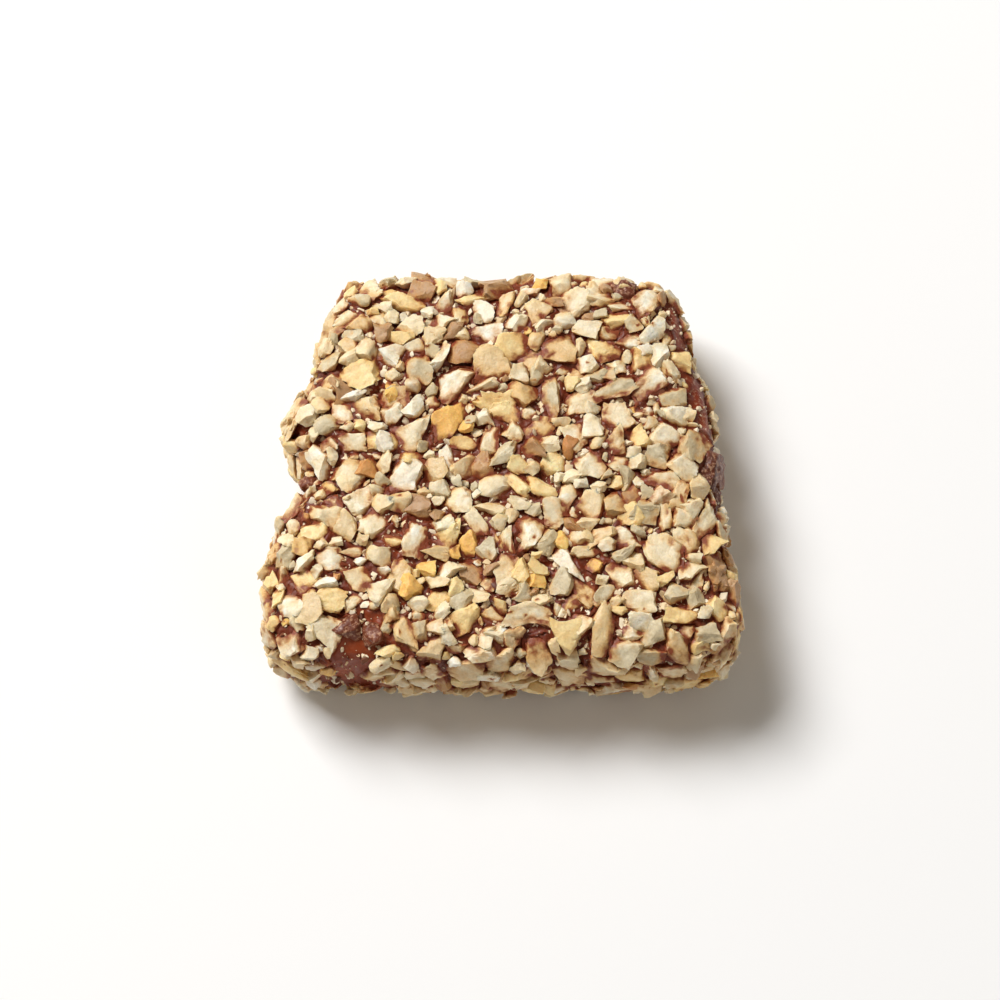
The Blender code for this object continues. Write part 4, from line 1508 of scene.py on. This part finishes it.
def nut_finish(name, light, deep, skin_and_rim_tone, film=0.0):
    """The finish of one kind of chip. Film is how much chocolate covers it all over."""
    material, tree, shader = new_finish(name)
    colour = blend(tree, stretch(tree, carried(tree, "shade"), 0.0, 1.0, 0.0, 0.8), light, deep)
    mottle = stretch(tree, grain(tree, NUT_GRAINS["mottle"], 4.0), 0.38, 0.64, 0.0, 0.85)
    colour = blend(tree, mottle, colour, deep)
    # The skin value also carries the painted shade at each chip's rim.
    skin_and_rim_shade = stretch(tree, carried(tree, "skin"), 0.2, 1.0, 0.0, 0.6)
    colour = blend(tree, skin_and_rim_shade, colour, skin_and_rim_tone)
    uneven = stretch(tree, grain(tree, NUT_GRAINS["stain_and_shade"], 4.0), 0.3, 0.7, -0.16, 0.16)
    cling_and_shade = add(tree, carried(tree, "stain_and_shade"), uneven)
    # Low on the chip: painted warm shade, and below it the real chocolate at the foot.
    colour = blend(tree, stretch(tree, cling_and_shade, 0.10, 0.70, 0.0, 0.80), colour, CARAMEL_STAIN_AND_WARM_SHADE)
    colour = blend(tree, stretch(tree, cling_and_shade, 0.52, 0.86, film, 0.96), colour, CHOCOLATE_FILM)
    grit = stretch(tree, grain(tree, NUT_GRAINS["grit"]), 0.30, 0.70, 0.90, 1.04)
    colour = scaled(tree, colour, grit)
    feed(tree, shader.inputs["Base Color"], colour)
    sheen = stretch(tree, grain(tree, NUT_GRAINS["sheen"]), 0.3, 0.7, *NUT_ROUGHNESS)
    feed(tree, shader.inputs["Roughness"], sheen)
    shader.inputs["Subsurface Weight"].default_value = SUBSURFACE_SHARE
    shader.inputs["Subsurface Radius"].default_value = LIGHT_GOES_IN_BY_COLOUR
    shader.inputs["Subsurface Scale"].default_value = LIGHT_GOES_IN
    relief = bumped(tree, grain(tree, NUT_GRAINS["relief"], 5.0), *NUT_RELIEF)
    relief = bumped(tree, grain(tree, NUT_GRAINS["grit"]), *NUT_GRIT, relief)
    feed(tree, shader.inputs["Normal"], relief)
    return material


NUT_TONES = {
    "cream_chips": ((250, 245, 229), (233, 213, 171), (239, 215, 165), 0.0),
    "warm_cream_chips": ((249, 237, 206), (228, 200, 151), (235, 204, 145), 0.0),
    "white_chips": ((251, 248, 236), (240, 227, 202), (243, 228, 193), 0.0),
    "yellow_chips": ((250, 233, 182), (240, 208, 146), (243, 209, 140), 0.0),
    "grey_chips": ((230, 218, 188), (202, 184, 147), (212, 190, 145), 0.0),
    "golden_chips": ((252, 216, 138), (242, 190, 104), (246, 196, 106), 0.0),
    "roasted_chips": ((230, 178, 114), (204, 144, 86), (212, 152, 92), 0.04),
    "filmed_chips": ((224, 197, 152), (198, 162, 115), (208, 172, 121), 0.30),
}
for kind, (light, deep, skin_and_rim_tone, film) in NUT_TONES.items():
    finish = nut_finish(kind, on_screen(*light), on_screen(*deep), on_screen(*skin_and_rim_tone), film)
    chip_pieces[kind].data.materials.append(finish)
print(len(NUT_TONES), "nut finishes")

# %% [markdown]
# A crumb is only a few pixels wide, so its finish is the nut's in short: a light and a deep
# tone and a rough face. Subsurface would cost time and not be seen at this size.

# %% The finish of a crumb: a light tone, a deep tone and a roughness for each kind
CRUMB_MOTTLE = 2500.0
CRUMB_GRAIN = 7000.0
CRUMB_RELIEF = (0.03 * MM, 0.4)
NUT_SPECK = (on_screen(250, 238, 214), on_screen(232, 204, 158), 0.6)
CHOCOLATE_SPECK = (on_screen(140, 84, 56), on_screen(92, 44, 26), 0.5)


def crumb_finish(name, light, deep, roughness):
    """The finish of crumbs: a light and a deep tone, and a rough face."""
    material, tree, shader = new_finish(name)
    colour = blend(tree, carried(tree, "shade"), light, deep)
    mottle = stretch(tree, grain(tree, CRUMB_MOTTLE), 0.35, 0.7, 0.0, 0.5)
    colour = blend(tree, mottle, colour, deep)
    feed(tree, shader.inputs["Base Color"], colour)
    shader.inputs["Roughness"].default_value = roughness
    feed(tree, shader.inputs["Normal"], bumped(tree, grain(tree, CRUMB_GRAIN), *CRUMB_RELIEF))
    return material


nut_speck = crumb_finish("nut_crumbs", *NUT_SPECK)
chocolate_speck = crumb_finish("chocolate_crumbs", *CHOCOLATE_SPECK)
nut_crumbs.data.materials.append(nut_speck)
chocolate_crumbs.data.materials.append(chocolate_speck)
print("crumb finishes:", nut_speck.name, "and", chocolate_speck.name)

# %% [markdown]
# Milk chocolate that was handled is not glossy: it is dull and a little purple where nut dust
# clings. Next to the chips it is painted darker, as painted shade in the narrow gaps. Under the
# amber patch it is thin, so the toffee shines through and it looks warmer and smoother there.

# %% The finish of the chocolate
COAT_TONES = (on_screen(166, 76, 41), on_screen(124, 48, 23))
LUMP_TONES = (on_screen(126, 66, 42), on_screen(88, 42, 25))
AMBER_TONES = (on_screen(156, 70, 34), on_screen(122, 50, 24))
NUT_DUST = on_screen(202, 156, 124)
# Painted shade: the colour the chocolate takes next to the chips.
PAINTED_GAP_SHADE = on_screen(92, 34, 17)
COAT_DUST = 0.60
LUMP_DUST = 0.75
CHOCOLATE_GRAINS = {"clouds": 320.0, "relief": 900.0, "sheen": 1200.0, "dust": 3400.0, "grit": 3600.0}
CHOCOLATE_ROUGHNESS = (0.32, 0.54)
CHOCOLATE_SHINE = 0.30
CHOCOLATE_RELIEF = (0.16 * MM, 0.6)
CHOCOLATE_GRIT = (0.05 * MM, 0.6)


def chocolate_finish(name, light, deep, dustiness):
    """Dull milk chocolate with nut dust on it, painted shade next to the chips, and warmer where it
    is thin.
    """
    material, tree, shader = new_finish(name)
    cloudy = stretch(tree, grain(tree, CHOCOLATE_GRAINS["clouds"], 3.0), 0.3, 0.7)
    colour = blend(tree, cloudy, light, deep)
    dust = stretch(tree, grain(tree, CHOCOLATE_GRAINS["dust"], 3.0), 0.50, 0.68, 0.0, dustiness)
    colour = blend(tree, dust, colour, NUT_DUST)
    # Painted shade in the gaps: darker where a chip is near.
    painted_gap_shade = stretch(tree, carried(tree, "near_chip_shade"), 0.20, 0.90, 0.0, 0.75)
    colour = blend(tree, painted_gap_shade, colour, PAINTED_GAP_SHADE)
    thin = stretch(tree, carried(tree, "amber"), 0.0, 1.0, 0.0, 0.88)
    colour = blend(tree, thin, colour, blend(tree, cloudy, *AMBER_TONES))
    feed(tree, shader.inputs["Base Color"], colour)
    sheen = stretch(tree, grain(tree, CHOCOLATE_GRAINS["sheen"]), 0.3, 0.7, *CHOCOLATE_ROUGHNESS)
    feed(tree, shader.inputs["Roughness"], sheen)
    shader.inputs["Specular IOR Level"].default_value = CHOCOLATE_SHINE
    relief = bumped(tree, grain(tree, CHOCOLATE_GRAINS["relief"], 4.0), *CHOCOLATE_RELIEF)
    relief = bumped(tree, grain(tree, CHOCOLATE_GRAINS["grit"], 3.0), *CHOCOLATE_GRIT, relief)
    feed(tree, shader.inputs["Normal"], relief)
    return material


coat_finish = chocolate_finish("milk_chocolate", *COAT_TONES, COAT_DUST)
lump_finish = chocolate_finish("milk_chocolate_lumps", *LUMP_TONES, LUMP_DUST)
chocolate_pieces["chocolate_coat"].data.materials.append(coat_finish)
chocolate_pieces["chocolate_lumps"].data.materials.append(lump_finish)
print("finishes:", len(bpy.data.materials))

# %% [markdown]
# ## Floor and light
# The square was photographed on plain white under large soft lights from above, the stronger
# one behind it on the left. A pale floor bounces light into the sides, and the world fills in.

# %% Floor
FLOOR_REACH = 1.2
FLOOR_COLOUR = (0.92, 0.92, 0.92, 1.0)
FLOOR_ROUGHNESS = 0.9


def pale_floor():
    """A plain pale floor under the piece."""
    mesh = bmesh.new()
    bmesh.ops.create_grid(mesh, x_segments=1, y_segments=1, size=FLOOR_REACH)
    data = bpy.data.meshes.new("floor")
    mesh.to_mesh(data)
    mesh.free()
    floor = bpy.data.objects.new("floor", data)
    bpy.context.scene.collection.objects.link(floor)
    material, _tree, shader = new_finish("pale_floor")
    shader.inputs["Base Color"].default_value = FLOOR_COLOUR
    shader.inputs["Roughness"].default_value = FLOOR_ROUGHNESS
    data.materials.append(material)


pale_floor()
print("the floor is", FLOOR_REACH * 2.0, "m wide")

# %% [markdown]
# A large lamp gives soft shadows and a small one hard ones. The key lamp is large and neutral,
# high up behind the square on the left, so each chip shades the gap in front of it on the right.
# The fill lamp opposite is weak and warm. A sky picture could light the piece too, but two lamps
# and an even world are easier to follow and to change.

# %% Lights: place, size, power, colour
LIGHTS = {
    "key": ((-0.44, 0.40, 0.76), 0.42, 10.75, (1.0, 1.0, 1.0)),
    "fill": ((0.55, -0.45, 0.60), 0.60, 1.0, (1.0, 0.90, 0.77)),
}
WORLD_COLOUR = (1.0, 0.93, 0.83, 1.0)
WORLD_STRENGTH = 0.17


def soft_light(name, place, size, power, colour):
    """A square soft light that looks at the piece."""
    light = bpy.data.lights.new(name, "AREA")
    light.color = colour
    light.shape = "SQUARE"
    light.size = size
    light.energy = power
    lamp = bpy.data.objects.new(name, light)
    lamp.location = place
    lamp.rotation_euler = (-Vector(place)).to_track_quat("-Z", "Y").to_euler()
    bpy.context.scene.collection.objects.link(lamp)


for name, settings in LIGHTS.items():
    soft_light(name, *settings)
world = bpy.data.worlds.new("studio")
world.use_nodes = True
world.node_tree.nodes["Background"].inputs["Color"].default_value = WORLD_COLOUR
world.node_tree.nodes["Background"].inputs["Strength"].default_value = WORLD_STRENGTH
bpy.context.scene.world = world
bpy.context.scene.view_settings.view_transform = "Standard"

# %% [markdown]
# ## Camera
# The photograph looks down steeply, 71 degrees above the table, from far enough away that the
# square hardly tapers. The two offsets bring the square to the same place in the frame.

# %% Camera
CAMERA_ELEVATION = 71.0
CAMERA_DISTANCE = 0.45
FOCAL_LENGTH = 180.0
SENSOR_WIDTH = 36.0
PIXEL = 0.09 * MM
SQUARE_AT_PIXEL = (505.0, 485.0)
FRAME_MIDDLE = 500.0
AIM_HEIGHT = 6.5 * MM
NEAREST_SEEN = 0.01


def aim_camera():
    """A camera at the photograph's angle, with the square at the same place in the frame."""
    elevation = math.radians(CAMERA_ELEVATION)
    back = Vector((0.0, -math.cos(elevation), math.sin(elevation)))
    up = Vector((0.0, math.sin(elevation), math.cos(elevation)))
    right = Vector((1.0, 0.0, 0.0))
    aim = Vector((0.0, 0.0, AIM_HEIGHT))
    aim -= right * (SQUARE_AT_PIXEL[0] - FRAME_MIDDLE) * PIXEL
    aim += up * (SQUARE_AT_PIXEL[1] - FRAME_MIDDLE) * PIXEL
    camera = bpy.data.cameras.new("camera")
    camera.lens = FOCAL_LENGTH
    camera.sensor_width = SENSOR_WIDTH
    camera.clip_start = NEAREST_SEEN
    eye = bpy.data.objects.new("camera", camera)
    eye.location = aim + back * CAMERA_DISTANCE
    eye.rotation_euler = (-back).to_track_quat("-Z", "Y").to_euler()
    bpy.context.scene.collection.objects.link(eye)
    bpy.context.scene.camera = eye


aim_camera()
print("the camera stands at", [round(value, 3) for value in bpy.context.scene.camera.location])
